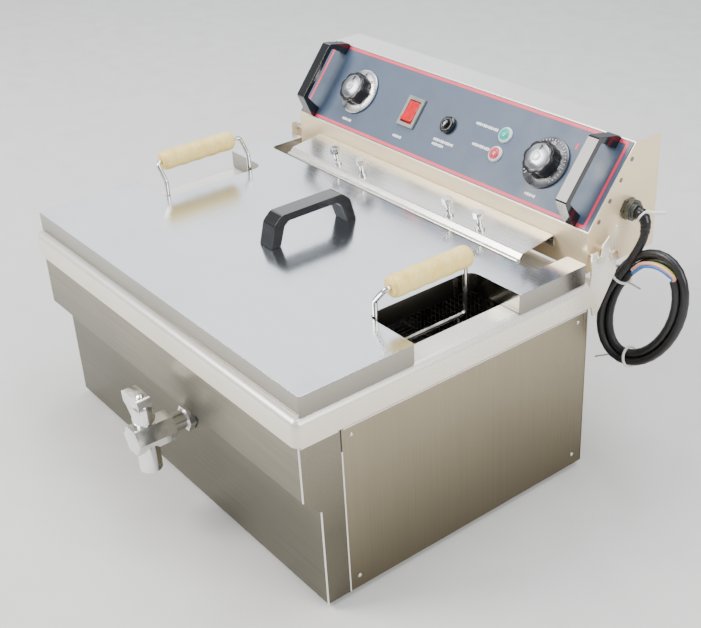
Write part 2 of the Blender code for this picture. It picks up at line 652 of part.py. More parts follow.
def make_reset_limiter():
    """The safety limiter: its collar on the panel, its case behind, and the button that resets it."""
    face = GAP + OVERLAY + GAP
    place = (*RESET_AT, 0)
    turned("limiter_body", [(9 * MM, face + 5 * MM), (10.4 * MM, face + 4 * MM), (10.4 * MM, face),
                                     (7 * MM, face), (7 * MM, -3 * MM), (16 * MM, -3 * MM),
                                     (16 * MM, -26 * MM), (4.6 * MM, -26 * MM), (4.6 * MM, face + 5 * MM)],
                    "chrome", PANEL, sides=28, location=place)
    turned("reset_button", [(0, face + 10 * MM), (3 * MM, face + 9.6 * MM), (4.2 * MM, face + 8.4 * MM),
                            (4.2 * MM, -12 * MM), (0, -12 * MM)], "black", PANEL, sides=20,
           location=place)


def make_pilot_lamps():
    face = GAP + OVERLAY + GAP
    for (name, spot), finish in zip(PILOTS.items(), ("green", "red")):
        turned(name, [(0, face + 6 * MM), (4 * MM, face + 5.2 * MM), (6 * MM, face + 2.8 * MM),
                      (8.4 * MM, face + 2.4 * MM), (9.4 * MM, face + 1.2 * MM), (9.4 * MM, face),
                      (6 * MM, face), (6 * MM, -20 * MM), (0, -20 * MM)], finish, PANEL, sides=28,
               location=(*spot, 0))


def make_panel_handles():
    """Two black bars on slanting feet, standing off the panel's ends."""
    face = GAP + OVERLAY + GAP
    length = PANEL_LENGTH
    outer = [(0.8 * MM, face), (0.8 * MM, 6 * MM), (15 * MM, 32.5 * MM), (length - 15 * MM, 32.5 * MM),
             (length - 0.8 * MM, 6 * MM), (length - 0.8 * MM, face)]
    inner = [(length - 14 * MM, face), (length - 18 * MM, 26 * MM), (18 * MM, 26 * MM), (14 * MM, face)]
    radii = [0.5, 3, 4, 4, 3, 0.5, 0.5, 2.5, 2.5, 0.5]
    outline = round_corners(outer + inner, [r * MM for r in radii], 3)
    for name, x in (("panel_handle_left", -HANDLE_X), ("panel_handle_right", HANDLE_X)):
        prism(name, [outline], "X", x - 7.5 * MM, x + 7.5 * MM, "black", PANEL, smooth=True)


def make_element_cover():
    """A shallow sloping cover in front of the head, its front lip rolled into a bead."""
    rear = HEAD_FRONT - GAP
    path = [(rear, 254 * MM), (rear, COVER_REAR_Z), COVER_BEND, (305.2 * MM, 255.5 * MM)]
    path = round_corners(path, [0, 2 * MM, 3 * MM, 0], 3, closed=False)
    cover = prism("element_cover", [strip(path, SHEET)], "X", -COVER_X, COVER_X, "steel", ROOT,
                  smooth=True)
    unite(cover, rod("cover_bead", (-COVER_X, 304.2 * MM, 253.6 * MM), (COVER_X, 304.2 * MM, 253.6 * MM),
                     3 * MM, None, ROOT, sides=16))
    bracket = make_element_bracket()
    for name, spot, lean in bolt_places():
        hole = rod(name + "_hole", (0, 0, -16 * MM), (0, 0, 16 * MM), 3.3 * MM, None, ROOT,
                   sides=16, location=spot)
        hole.rotation_euler = (lean, 0, 0)
        cut(cover, hole)
        cut(bracket, hole)


def cover_lean():
    return math.atan2(COVER_REAR_Z - COVER_BEND[1], HEAD_FRONT - GAP - COVER_BEND[0])


def bolt_places():
    """Name, place on the cover's upper face, and forward lean of each bolt."""
    lean = cover_lean()
    z = COVER_BEND[1] + (BOLT_Y - COVER_BEND[0]) * math.tan(lean)
    places = []
    for i, pair in enumerate(BOLT_PAIRS):
        for j, step in enumerate((-25 * MM, 25 * MM)):
            places.append((f"cover_bolt_{2 * i + j + 1}", (pair + step, BOLT_Y, z), lean))
    return places


def make_element_bracket():
    """The bar under the cover that the bolts screw into, above the elements' upper runs."""
    lean = cover_lean()
    top = SHEET + GAP
    spot = bolt_places()[0][1]
    bracket = box("element_bracket", (-160 * MM, -5 * MM, -top - 3 * MM), (160 * MM, 13 * MM, -top),
                  "steel", ROOT, location=(0, spot[1], spot[2]))
    bracket.rotation_euler = (lean, 0, 0)
    return bracket


def make_cover_bolts():
    for name, spot, lean in bolt_places():
        bolt = rod(name, (0, 0, -4.2 * MM), (0, 0, 16 * MM), 3 * MM, "chrome", ROOT, sides=16,
                   location=spot)
        head = rod(name + "_head", (0, 0, 14.5 * MM), (0, 0, 21.5 * MM), 6.2 * MM, None, ROOT,
                   sides=6, location=spot)
        collar = rod(name + "_collar", (0, 0, GAP), (0, 0, 3 * MM), 5.4 * MM, None, ROOT, sides=20,
                     location=spot)
        for piece in (bolt, head, collar):
            piece.rotation_euler = (lean, 0, 0)
        unite(bolt, head, collar)


def make_heating_elements():
    """Two hairpin rods that run forward from the head, down the tank's rear, and along its floor."""
    tail = HEAD_FRONT + 16 * MM
    drop = 309 * MM
    for name, (left, right) in zip(("heating_element_left", "heating_element_right"), ELEMENT_LEGS):
        middle = (left + right) / 2
        near, mid, far = 44 * MM, 200 * MM, drop
        inset = 16 * MM
        path = [(left, tail, ELEMENT_RUN_Z), (left, drop, ELEMENT_RUN_Z), (left, far, ELEMENT_LOOP_Z),
                (left, near, ELEMENT_LOOP_Z), (middle - inset, near, ELEMENT_LOOP_Z),
                (middle - inset, mid, ELEMENT_LOOP_Z), (middle + inset, mid, ELEMENT_LOOP_Z),
                (middle + inset, near, ELEMENT_LOOP_Z), (right, near, ELEMENT_LOOP_Z),
                (right, far, ELEMENT_LOOP_Z), (right, drop, ELEMENT_RUN_Z), (right, tail, ELEMENT_RUN_Z)]
        tube(name, round_corners(path, 14 * MM, 4, closed=False), ELEMENT_RADIUS, "element", ROOT)


def make_bulbs():
    """Each sensing bulb hangs in the oil on its thin capillary, behind the basket."""
    for name, x in BULBS.items():
        path = [(x, HEAD_FRONT + 10 * MM, ELEMENT_RUN_Z), (x, 312 * MM, ELEMENT_RUN_Z),
                (x, 312 * MM, 172 * MM), (x, 312 * MM, 168 * MM), (x, 312 * MM, 114 * MM)]
        path = round_corners(path, [0, 8 * MM, 0, 0, 0], 4, closed=False)
        tube(name, path, 3 * MM, "chrome", ROOT, widths=[0.45] * (len(path) - 2) + [1, 1])


def make_head_contents():
    """The contactor and the terminal block stand on the head's floor."""
    floor = HEAD_BOTTOM + GAP + SHEET + GAP
    contactor = box("contactor", (-58 * MM, 412 * MM, floor), (-13 * MM, 452 * MM, floor + 58 * MM),
                    "white", ROOT)
    unite(contactor, box("contactor_bridge", (-50 * MM, 405 * MM, floor + 14 * MM),
                         (-21 * MM, 420 * MM, floor + 44 * MM), None, ROOT))
    block = box("terminal_block", (150 * MM, 420 * MM, floor), (205 * MM, 442 * MM, floor + 18 * MM),
                "white", ROOT)
    for i in range(3):
        x = (160 + 17.5 * i) * MM
        cut(block, rod("terminal_way", (x, 400 * MM, floor + 8 * MM), (x, 460 * MM, floor + 8 * MM),
                       3 * MM, None, ROOT, sides=12))


def make_cable_gland():
    place = (HEAD_X, GLAND_Y, GLAND_Z)
    bore = CORD_RADIUS + GAP
    body = rod("gland_body", (-12 * MM, 0, 0), (2 * MM, 0, 0), 9.6 * MM, "black", ROOT, sides=24,
               location=place)
    unite(body, rod("gland_flange", (GAP, 0, 0), (4 * MM, 0, 0), 12.4 * MM, None, ROOT, sides=6,
                    location=place))
    nut = rod("gland_nut", (4 * MM + GAP, 0, 0), (10 * MM, 0, 0), 11.8 * MM, "black", ROOT, sides=12,
              location=place)
    unite(nut, rod("gland_dome", (9 * MM, 0, 0), (14 * MM, 0, 0), 8.6 * MM, None, ROOT, sides=24,
                   location=place))
    hole = rod("gland_bore", (-30 * MM, 0, 0), (30 * MM, 0, 0), bore, None, ROOT, sides=20,
               location=place)
    cut(body, hole)
    cut(nut, hole)


def coil_point(turn):
    across, high = COIL_HALF
    return COIL_CENTRE + Vector((across * math.cos(turn), 0, high * math.sin(turn + COIL_SKEW)))


def make_cord():
    """The lead from the gland down to its coil, and the coil's outer shape as one ring."""
    lead = smooth_path(LEAD_ROUTE, LEAD_SPACING)
    tube("supply_cord", lead, CORD_RADIUS, "rubber", ROOT, resolution=4)
    steps = 48
    ring = [coil_point(2 * math.pi * i / steps) for i in range(steps)]
    tube("supply_cord_coil", ring, COIL_THICK, "rubber", ROOT, resolution=3, closed=True)


def make_basket():
    """The basket's outer shape as an open box; its wires are fine work on top of this."""
    corner = 25 * MM
    y0, y1 = BASKET_Y
    z0, z1 = BASKET_Z
    wall = BASKET_WALL
    outer = round_corners(rectangle(-BASKET_X, y0, BASKET_X, y1), corner)
    inner = round_corners(rectangle(-BASKET_X + wall, y0 + wall, BASKET_X - wall, y1 - wall), corner - wall)
    basket = prism("basket", [outer], "Z", z0, z1, "chrome", ROOT, smooth=True)
    cut(basket, prism("basket_inside", [inner], "Z", z0 + wall, z1 + 20 * MM, None, ROOT))


def make_bails():
    """A closed loop of wire at each end of the basket, and the grip that turns on its top bar."""
    y0, y1 = BAIL_Y
    low, knee = 216 * MM, 273.8 * MM
    for side, sign in (("left", -1), ("right", 1)):
        path = [(sign * BAIL_X, y0, low), (sign * BAIL_X, y1, low), (sign * BAIL_X, y1, knee),
                (sign * GRIP_X, y1, GRIP_Z), (sign * GRIP_X, y0, GRIP_Z), (sign * BAIL_X, y0, knee)]
        tube(f"basket_bail_{side}", round_corners(path, 5.4 * MM, 4), BAIL_WIRE, "chrome", ROOT,
             closed=True)
        make_grip(f"basket_grip_{side}", (sign * GRIP_X, (y0 + y1) / 2, GRIP_Z))


def make_grip(name, place):
    """A wooden roller with five soft waves, bored for the wire. Its own Z is its axis."""
    half = GRIP_LENGTH / 2
    bore = BAIL_WIRE + 0.35 * MM
    steps = 14
    outside = []
    for i in range(steps + 1):
        along = 1 - 2 * i / steps
        wave = 0.7 * MM * math.cos(5 * math.pi * along)
        shoulder = 3.2 * MM * abs(along) ** 14
        outside.append((11.1 * MM + wave - shoulder, along * half))
    grip = turned(name, [(bore, half), *outside, (bore, -half)], "grip", ROOT, sides=18, location=place)
    grip.rotation_euler = (math.pi / 2, 0, 0)


def lid_outline(inset):
    """The lid's plan, made smaller all round by inset, with its side notches and rear notch."""
    x, front, rear = LID_X - inset, LID_FRONT + inset, LID_REAR - inset
    y0, y1 = SIDE_NOTCH[0] - inset, SIDE_NOTCH[1] + inset
    deep = SIDE_NOTCH_X - inset
    back_x, back_y = REAR_NOTCH_X + inset, REAR_NOTCH_Y - inset
    right = [(x, front), (x, y0), (deep, y0), (deep, y1), (x, y1), (x, rear), (back_x, rear), (back_x, back_y)]
    left = [(-px, py) for px, py in reversed(right)]
    soft, notch = 2 * MM, 12 * MM + inset
    radii = [soft, soft, notch, notch, soft, soft, soft, 6 * MM]
    return round_corners(right + left, radii + radii[::-1], 4)


def make_lid():
    low = RIM_TOP + GAP
    lid = prism("lid", [lid_outline(0)], "Z", low, LID_TOP, "lid", ROOT, smooth=True)
    hollow = prism("lid_inside", [lid_outline(SHEET)], "Z", low - 20 * MM, LID_TOP - RIM_SHEET, None, ROOT)
    boolean(lid, hollow, "DIFFERENCE").solver = "MANIFOLD"
    face = LID_TOP + GAP
    outer = [(128, 0), (135, 26), (145, 35), (227, 35), (237, 26), (244, 0)]
    inner = [(231, 0), (224, 22), (218, 26.5), (154, 26.5), (148, 22), (141, 0)]
    radii = [0.5, 9, 8, 8, 9, 0.5, 0.5, 6, 5, 5, 6, 0.5]
    spots = [(y * MM, face + z * MM) for y, z in outer + inner]
    outline = round_corners(spots, [r * MM for r in radii], 4)
    prism("lid_handle", [outline], "X", -11 * MM, 11 * MM, "black", ROOT, smooth=True)


clear_scene()
PARTS = new_collection("deep_fryer")
CUTTERS = new_collection("cutters")
ROOT = new_empty("fryer_root", None, (0, -ORIGIN_Y, 0))
PANEL = new_empty("panel_plane", ROOT, (0, HEAD_FRONT, PANEL_LOW), (PANEL_TILT, 0, 0))

make_feet()
make_base_plate()
make_front_panel()
make_side_panels()
make_back_panel()
make_rim_frame()
make_oil_tank()
make_drain_tap()
make_head_shell()
make_head_back_cover()
make_shoulder_screws()
make_panel_overlay()
make_shaft_control("timer", TIMER_X, 44 * MM, 30 * MM, "white")
make_shaft_control("thermostat", THERMOSTAT_X, 38 * MM, 28 * MM, "white")
make_knob("timer_knob", TIMER_X)
make_knob("thermostat_knob", THERMOSTAT_X)
make_rocker_switch()
make_reset_limiter()
make_pilot_lamps()
make_panel_handles()
make_element_cover()
make_cover_bolts()
make_heating_elements()
make_bulbs()
make_head_contents()
make_cable_gland()
make_cord()
make_basket()
make_bails()
make_lid()
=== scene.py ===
"""Looks of the counter-top deep fryer: materials, fine pieces, camera, floor and light."""
import json
import math

import bmesh
import bpy
from mathutils import Matrix, Quaternion, Vector

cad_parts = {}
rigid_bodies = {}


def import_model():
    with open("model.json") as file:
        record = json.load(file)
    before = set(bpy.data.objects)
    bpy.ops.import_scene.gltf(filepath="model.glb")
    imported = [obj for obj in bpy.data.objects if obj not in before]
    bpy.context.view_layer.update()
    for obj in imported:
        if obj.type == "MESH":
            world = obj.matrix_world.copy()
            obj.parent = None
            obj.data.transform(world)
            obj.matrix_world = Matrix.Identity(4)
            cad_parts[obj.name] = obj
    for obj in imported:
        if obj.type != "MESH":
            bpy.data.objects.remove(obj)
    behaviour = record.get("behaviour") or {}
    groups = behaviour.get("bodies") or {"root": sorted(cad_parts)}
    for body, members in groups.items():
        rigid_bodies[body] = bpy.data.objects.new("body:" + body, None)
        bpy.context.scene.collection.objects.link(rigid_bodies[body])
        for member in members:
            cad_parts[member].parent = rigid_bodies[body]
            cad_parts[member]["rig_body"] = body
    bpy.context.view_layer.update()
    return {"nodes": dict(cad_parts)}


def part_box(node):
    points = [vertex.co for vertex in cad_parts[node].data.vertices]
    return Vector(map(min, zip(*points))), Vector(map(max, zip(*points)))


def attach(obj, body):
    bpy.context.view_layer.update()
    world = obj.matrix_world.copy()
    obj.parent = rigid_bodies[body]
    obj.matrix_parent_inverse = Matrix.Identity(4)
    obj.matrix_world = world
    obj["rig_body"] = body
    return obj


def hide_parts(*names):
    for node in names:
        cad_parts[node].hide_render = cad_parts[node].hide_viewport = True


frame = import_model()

MM = 0.001

# The same places as in part.py: Y counts from the lower front panel, in millimetres
ORIGIN_Y = 195.1
PANEL_FOOT = (357.2, 284.2)
PANEL_TILT = math.radians(51.2)
PANEL_LENGTH = 104.7
KNOB_UP = 52
KNOB_X = 161
PRINT_FACE = 1.1
INK_FACE = PRINT_FACE + 0.12
CASING_SIDE = 260
CASING_BACK = 354.6
COVER_BACK = 461.2
CORD_DIAMETER = 9 * MM
CORD_EXIT = (266.3, 416, 294.6)
COIL_CENTRE = (287.5, 407, 191.7)
COIL_HALF = (49, 65.6)
COIL_SKEW = math.radians(25)
COIL_START = math.radians(128)
COIL_STOP = math.radians(1108)

# The camera's place and aim, from the fit to the object's straight edges
CAMERA_AT = (991, -485, 830)
VIEW_AZIMUTH = math.radians(53.96)
VIEW_ELEVATION = math.radians(29.69)
VIEW_ROLL = math.radians(-3.34)
LENS = 61.54


def spot(x, y, z):
    """A place given in millimetres, in the shared frame's metres."""
    return Vector((x, y - ORIGIN_Y, z)) * MM


PANEL = Matrix.Translation(spot(0, *PANEL_FOOT)) @ Matrix.Rotation(PANEL_TILT, 4, "X")
QUARTER = math.pi / 2


def panel_place(x, up):
    """A place on the control panel, with its Z standing out of the panel."""
    return PANEL @ Matrix.Translation(Vector((x, up, 0)) * MM)


def facing(place, turn, axis):
    """A place given in millimetres, with its Z turned about an axis."""
    return Matrix.Translation(spot(*place)) @ Matrix.Rotation(turn, 4, axis)


# ---------------------------------------------------------------- materials

def new_material(name, colour, metallic=0.0, roughness=0.4):
    """A material with its node tree and its shader."""
    material = bpy.data.materials.new(name)
    material.use_nodes = True
    shader = material.node_tree.nodes["Principled BSDF"]
    shader.inputs["Base Color"].default_value = (*colour, 1)
    shader.inputs["Metallic"].default_value = metallic
    shader.inputs["Roughness"].default_value = roughness
    return material, material.node_tree, shader


def noise(tree, scale, detail=4.0, stretch=(1, 1, 1), turn=(0, 0, 0)):
    """Object-space noise, drawn out along an axis where stretch is small."""
    coordinates = tree.nodes.new("ShaderNodeTexCoord")
    mapping = tree.nodes.new("ShaderNodeMapping")
    mapping.inputs["Scale"].default_value = stretch
    mapping.inputs["Rotation"].default_value = turn
    texture = tree.nodes.new("ShaderNodeTexNoise")
    texture.inputs["Scale"].default_value = scale
    texture.inputs["Detail"].default_value = detail
    tree.links.new(coordinates.outputs["Object"], mapping.inputs["Vector"])
    tree.links.new(mapping.outputs["Vector"], texture.inputs["Vector"])
    return texture.outputs["Fac"]


def remap(tree, value, low, high, start=0.3, stop=0.7):
    """Takes a value between start and stop to one between low and high."""
    node = tree.nodes.new("ShaderNodeMapRange")
    node.inputs["From Min"].default_value = start
    node.inputs["From Max"].default_value = stop
    node.inputs["To Min"].default_value = low
    node.inputs["To Max"].default_value = high
    tree.links.new(value, node.inputs["Value"])
    return node.outputs["Result"]


def mix(tree, factor, first, second):
    """A colour between two others, each a colour or a node's output."""
    node = tree.nodes.new("ShaderNodeMix")
    node.data_type = "RGBA"
    for index, colour in ((6, first), (7, second)):
        if isinstance(colour, tuple):
            node.inputs[index].default_value = (*colour, 1)
        else:
            tree.links.new(colour, node.inputs[index])
    tree.links.new(factor, node.inputs[0])
    return node.outputs[2]


def bump(tree, shader, height, strength, distance):
    node = tree.nodes.new("ShaderNodeBump")
    node.inputs["Strength"].default_value = strength
    node.inputs["Distance"].default_value = distance
    tree.links.new(height, node.inputs["Height"])
    tree.links.new(node.outputs["Normal"], shader.inputs["Normal"])


def shade_height_mask(tree, low, high):
    """0 at the low height and 1 at the high one, from the piece's own Z; it places the painted shade
    on upright faces.
    """
    coordinates = tree.nodes.new("ShaderNodeTexCoord")
    split = tree.nodes.new("ShaderNodeSeparateXYZ")
    tree.links.new(coordinates.outputs["Object"], split.inputs["Vector"])
    return remap(tree, split.outputs["Z"], 0, 1, low * MM, high * MM)


def top_light_mask(tree):
    """0 on an upright face and 1 on one that faces up; it places the painted light of the top colour.
    """
    coordinates = tree.nodes.new("ShaderNodeTexCoord")
    split = tree.nodes.new("ShaderNodeSeparateXYZ")
    tree.links.new(coordinates.outputs["Normal"], split.inputs["Vector"])
    return remap(tree, split.outputs["Z"], 0, 1, 0.25, 0.9)


def brushed(name, top, upright, foot, heights, along, rough=(0.24, 0.34), grain=1.0, metal=1.0):
    """Brushed steel with fine lines along one axis.

    Faces that look up have the top colour and upright ones the upright colour: painted light, by which
    way a face looks.
    Upright ones darken as painted shade from the higher of two heights, in millimetres, down to the
    lower.
    """
    line_tint, smear_tint = (0.05, 0.045, 0.04), (0.10, 0.09, 0.08)
    stretch = [1.0, 1.0, 1.0]
    stretch["XYZ".index(along)] = 0.01
    material, tree, shader = new_material(name, top, metal)
    lines = noise(tree, 620, 3, stretch)
    smears = noise(tree, 6, 3)
    # Painted shade down the upright faces to the foot colour, and painted light of the top colour on
    # faces that look up
    shaded_walls = mix(tree, shade_height_mask(tree, *heights), foot, upright)
    colour = mix(tree, top_light_mask(tree), shaded_walls, top)
    shade = mix(tree, remap(tree, lines, 0, 0.16 * grain), colour, line_tint)
    worn = mix(tree, remap(tree, smears, 0, 0.14, 0.45, 0.8), shade, smear_tint)
    tree.links.new(worn, shader.inputs["Base Color"])
    added = tree.nodes.new("ShaderNodeMath")
    added.operation = "ADD"
    tree.links.new(remap(tree, lines, *rough), added.inputs[0])
    tree.links.new(remap(tree, smears, -0.02, 0.05), added.inputs[1])
    tree.links.new(added.outputs[0], shader.inputs["Roughness"])
    bump(tree, shader, lines, 0.03 * grain, 0.0002)
    return material


def polished(name, colour, roughness, ripple=0.04):
    """Plated metal with a faint orange-peel skin and dull patches."""
    material, tree, shader = new_material(name, colour, 1.0, roughness)
    skin = noise(tree, 260, 2)
    patches = noise(tree, 45, 4)
    tree.links.new(remap(tree, patches, roughness * 0.6, roughness * 2.2), shader.inputs["Roughness"])
    shade = tuple(c * 0.82 for c in colour)
    tree.links.new(mix(tree, remap(tree, patches, 0, 1), shade, colour), shader.inputs["Base Color"])
    bump(tree, shader, skin, ripple, 0.0004)
    return material


def plastic(name, colour, roughness, mottle=0.12, grain=500, coat=0.0):
    """Moulded plastic or rubber with a fine skin and slight colour drift."""
    material, tree, shader = new_material(name, colour, 0.0, roughness)
    skin = noise(tree, grain, 3)
    drift = noise(tree, 22, 4)
    shade = tuple(c * (1 - mottle) for c in colour)
    tree.links.new(mix(tree, remap(tree, drift, 0, 1), shade, colour), shader.inputs["Base Color"])
    tree.links.new(remap(tree, drift, roughness * 0.75, roughness * 1.3), shader.inputs["Roughness"])
    shader.inputs["Coat Weight"].default_value = coat
    shader.inputs["Coat Roughness"].default_value = 0.12
    bump(tree, shader, skin, 0.05, 0.0002)
    return material


def grip_material():
    """Cream roller with faint long streaks and a satin glaze."""
    material, tree, shader = new_material("cream_grip", (0.95, 0.86, 0.52), 0.0, 0.35)
    streaks = noise(tree, 260, 5, (1, 0.06, 1))
    patches = noise(tree, 40, 3)
    colour = mix(tree, remap(tree, streaks, 0, 1), (0.93, 0.62, 0.13), (1.0, 0.80, 0.28))
    colour = mix(tree, remap(tree, patches, 0, 0.5), colour, (1.0, 0.86, 0.40))
    tree.links.new(colour, shader.inputs["Base Color"])
    tree.links.new(remap(tree, patches, 0.28, 0.48), shader.inputs["Roughness"])
    shader.inputs["Subsurface Weight"].default_value = 0.08
    shader.inputs["Subsurface Scale"].default_value = 0.004
    bump(tree, shader, streaks, 0.12, 0.0003)
    return material


def lens_material(name, colour, glow):
    """A lit plastic lens, ribbed inside."""
    material, tree, shader = new_material(name, colour, 0.0, 0.12)
    ribs = noise(tree, 700, 1, (1, 0.2, 0.2))
    tree.links.new(mix(tree, remap(tree, ribs, 0, 1), tuple(c * 0.55 for c in colour), colour),
                   shader.inputs["Base Color"])
    tree.links.new(remap(tree, ribs, 0.08, 0.2), shader.inputs["Roughness"])
    shader.inputs["Transmission Weight"].default_value = 0.25
    shader.inputs["Emission Color"].default_value = (*colour, 1)
    shader.inputs["Emission Strength"].default_value = glow
    bump(tree, shader, ribs, 0.15, 0.0003)
    return material


# Each steel's three colours are painted light: the top colour the painted light on faces that look up,
# the upright colour that on walls, darkening as painted shade down to the foot colour
STEEL = {
    "front": brushed("front_steel", top=(0.80, 0.76, 0.68), upright=(0.32, 0.29, 0.225),
                     foot=(0.14, 0.13, 0.095), heights=(90, 225), along="X",
                     rough=(0.26, 0.36), grain=0.7),
    "side": brushed("side_steel", top=(0.80, 0.76, 0.68), upright=(0.42, 0.365, 0.26),
                    foot=(0.155, 0.13, 0.085), heights=(10, 245), along="Z",
                    rough=(0.26, 0.36), grain=0.5),
    "rim": brushed("rim_steel", top=(0.92, 0.90, 0.85), upright=(1.0, 0.94, 0.82),
                   foot=(0.92, 0.84, 0.70), heights=(205, 232), along="X",
                   rough=(0.26, 0.34), grain=0.2, metal=0.45),
    "lid": brushed("lid_steel", top=(0.84, 0.87, 0.90), upright=(0.40, 0.375, 0.33),
                   foot=(0.30, 0.28, 0.24), heights=(236, 254), along="X",
                   rough=(0.14, 0.2), grain=0.3),
    "head": brushed("head_steel", top=(0.80, 0.82, 0.78), upright=(1.0, 0.84, 0.57),
                    foot=(0.92, 0.74, 0.48), heights=(240, 360), along="X",
                    rough=(0.3, 0.4), grain=0.25, metal=0.4),
    "cover": brushed("cover_steel", top=(0.90, 0.90, 0.86), upright=(0.90, 0.86, 0.76),
                     foot=(0.80, 0.76, 0.66), heights=(230, 262), along="X",
                     rough=(0.2, 0.28), grain=0.3, metal=0.9),
    "tank": brushed("tank_steel", top=(0.42, 0.42, 0.42), upright=(0.30, 0.29, 0.28),
                    foot=(0.16, 0.15, 0.15), heights=(90, 230), along="X", rough=(0.3, 0.5)),
}
# Near-white steel for the painted highlights along the casing's folds
FOLD_HIGHLIGHT = brushed("painted_fold_highlight", top=(1.0, 0.98, 0.92), upright=(1.0, 0.98, 0.92),
               foot=(0.95, 0.92, 0.84), heights=(0, 230), along="Z",
               rough=(0.3, 0.4), grain=0.2, metal=0.35)
WELD = polished("weld_brown", (0.34, 0.29, 0.22), 0.4)
SCREW = polished("screw_nickel", (0.98, 0.94, 0.84), 0.22)
CHROME = polished("tap_chrome", (0.97, 0.97, 0.96), 0.14)
WIRE = polished("wire_chrome", (0.96, 0.95, 0.92), 0.16)
# The bright wire's colour darkened, as painted shade for the basket down in the tank
SHADED_WIRE = polished("shaded_basket_wire", (0.66, 0.62, 0.56), 0.25)
SILVER = polished("knob_silver", (0.50, 0.52, 0.55), 0.24)
SKIRT_DARK = polished("skirt_dark_chrome", (0.20, 0.20, 0.21), 0.22)
SKIRT_LIGHT = polished("skirt_silver", (0.86, 0.86, 0.86), 0.2)
ELEMENT = polished("element_tube", (0.22, 0.20, 0.18), 0.35, ripple=0.1)
BEZEL = plastic("bezel_grey", (0.30, 0.31, 0.29), 0.25, mottle=0.35, coat=0.4)
GLAND = plastic("gland_nylon", (0.055, 0.062, 0.056), 0.25, mottle=0.35, coat=0.5)
BLACK = plastic("gloss_black", (0.006, 0.006, 0.007), 0.1, mottle=0.3, grain=420, coat=0.8)
GLOSS = plastic("button_black", (0.008, 0.008, 0.009), 0.08, mottle=0.2, grain=420, coat=1.0)
KNOB_BLACK = plastic("knob_black", (0.014, 0.014, 0.016), 0.3, mottle=0.3, grain=700)
RUBBER = plastic("cord_rubber", (0.018, 0.018, 0.02), 0.42, mottle=0.3, grain=600)
FOOT = plastic("foot_rubber", (0.03, 0.03, 0.03), 0.7, mottle=0.3, grain=300)
PRINT = plastic("panel_print", (0.075, 0.115, 0.185), 0.42, mottle=0.25, grain=1400)
PRINT_RED = plastic("border_red", (0.95, 0.055, 0.12), 0.42, mottle=0.2, grain=900)
PRINT_WHITE = plastic("print_white", (0.90, 0.91, 0.93), 0.35, mottle=0.06)
INNER = plastic("inner_plastic", (0.78, 0.77, 0.73), 0.5)
TIE = plastic("tie_white", (0.92, 0.90, 0.84), 0.35, mottle=0.08)
GRIP = grip_material()
RED_LENS = lens_material("rocker_lens", (0.85, 0.02, 0.03), 0.3)
GREEN_LAMP = lens_material("green_lamp", (0.0, 0.62, 0.48), 0.35)
PINK_LAMP = lens_material("red_lamp", (0.80, 0.10, 0.14), 0.35)


# ---------------------------------------------------------------- building

def add_piece(name, data, body, material, slot, stands_for=(), at=None):
    """A visible piece that rides a body and may stand for CAD nodes; its colour slot is not used."""
    obj = bpy.data.objects.new(name, data)
    bpy.context.scene.collection.objects.link(obj)
    data.materials.clear()
    data.materials.append(material)
    if at is not None:
        obj.matrix_world = at
    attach(obj, body)
    if stands_for:
        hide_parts(*stands_for)
    return obj


def mesh_from(bm, name):
    """A smooth mesh with its faces turned outward."""
    bmesh.ops.recalc_face_normals(bm, faces=bm.faces)
    mesh = bpy.data.meshes.new(name)
    bm.to_mesh(mesh)
    bm.free()
    mesh.shade_smooth()
    return mesh


def refine(node, material, slot, width, segments=3, sharper_than=32):
    """A copy of a CAD node with its sharp edges rounded, standing for it."""
    source = frame["nodes"][node]
    bm = bmesh.new()
    bm.from_mesh(source.data)
    bmesh.ops.remove_doubles(bm, verts=bm.verts, dist=2e-6)
    bmesh.ops.dissolve_limit(bm, angle_limit=math.radians(0.6), verts=bm.verts, edges=bm.edges)
    limit = math.radians(sharper_than)
    edges = [e for e in bm.edges if len(e.link_faces) == 2 and e.calc_face_angle() > limit]
    bmesh.ops.bevel(bm, geom=edges, offset=width * MM, segments=segments, profile=0.5,
                    affect="EDGES", clamp_overlap=True)
    name = node + "_look"
    piece = add_piece(name, mesh_from(bm, name), source["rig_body"], material, slot, [node])
    weights = piece.modifiers.new("face_weights", "WEIGHTED_NORMAL")
    weights.keep_sharp = True
    return piece


def wire(name, paths, radius, body, material, slot, closed=False, sides=3, **options):
    """Round wires along polylines, in metres, as one curve object."""
    curve = bpy.data.curves.new(name, "CURVE")
    curve.dimensions = "3D"
    curve.bevel_depth = radius
    curve.bevel_resolution = sides
    curve.use_fill_caps = True
    for path in paths:
        spline = curve.splines.new("POLY")
        spline.points.add(len(path) - 1)
        for point, place in zip(spline.points, path):
            point.co = (*place, 1)
        spline.use_cyclic_u = closed
        spline.use_smooth = True
    return add_piece(name, curve, body, material, slot, **options)


def turned(name, profile, body, material, slot, at, sides=64, **options):
    """A closed profile of (radius, height), in millimetres, turned about the place's own Z."""
    bm = bmesh.new()
    verts = [bm.verts.new((r * MM, 0, z * MM)) for r, z in profile]
    edges = [bm.edges.new(pair) for pair in zip(verts, verts[1:])]
    if profile[0][0] > 0:
        edges.append(bm.edges.new((verts[-1], verts[0])))
    bmesh.ops.spin(bm, geom=verts + edges, cent=(0, 0, 0), axis=(0, 0, 1), angle=2 * math.pi,
                   steps=sides, use_merge=True)
    bmesh.ops.remove_doubles(bm, verts=bm.verts, dist=1e-6)
    mesh = mesh_from(bm, name)
    mesh.set_sharp_from_angle(angle=math.radians(40))
    return add_piece(name, mesh, body, material, slot, at=at, **options)


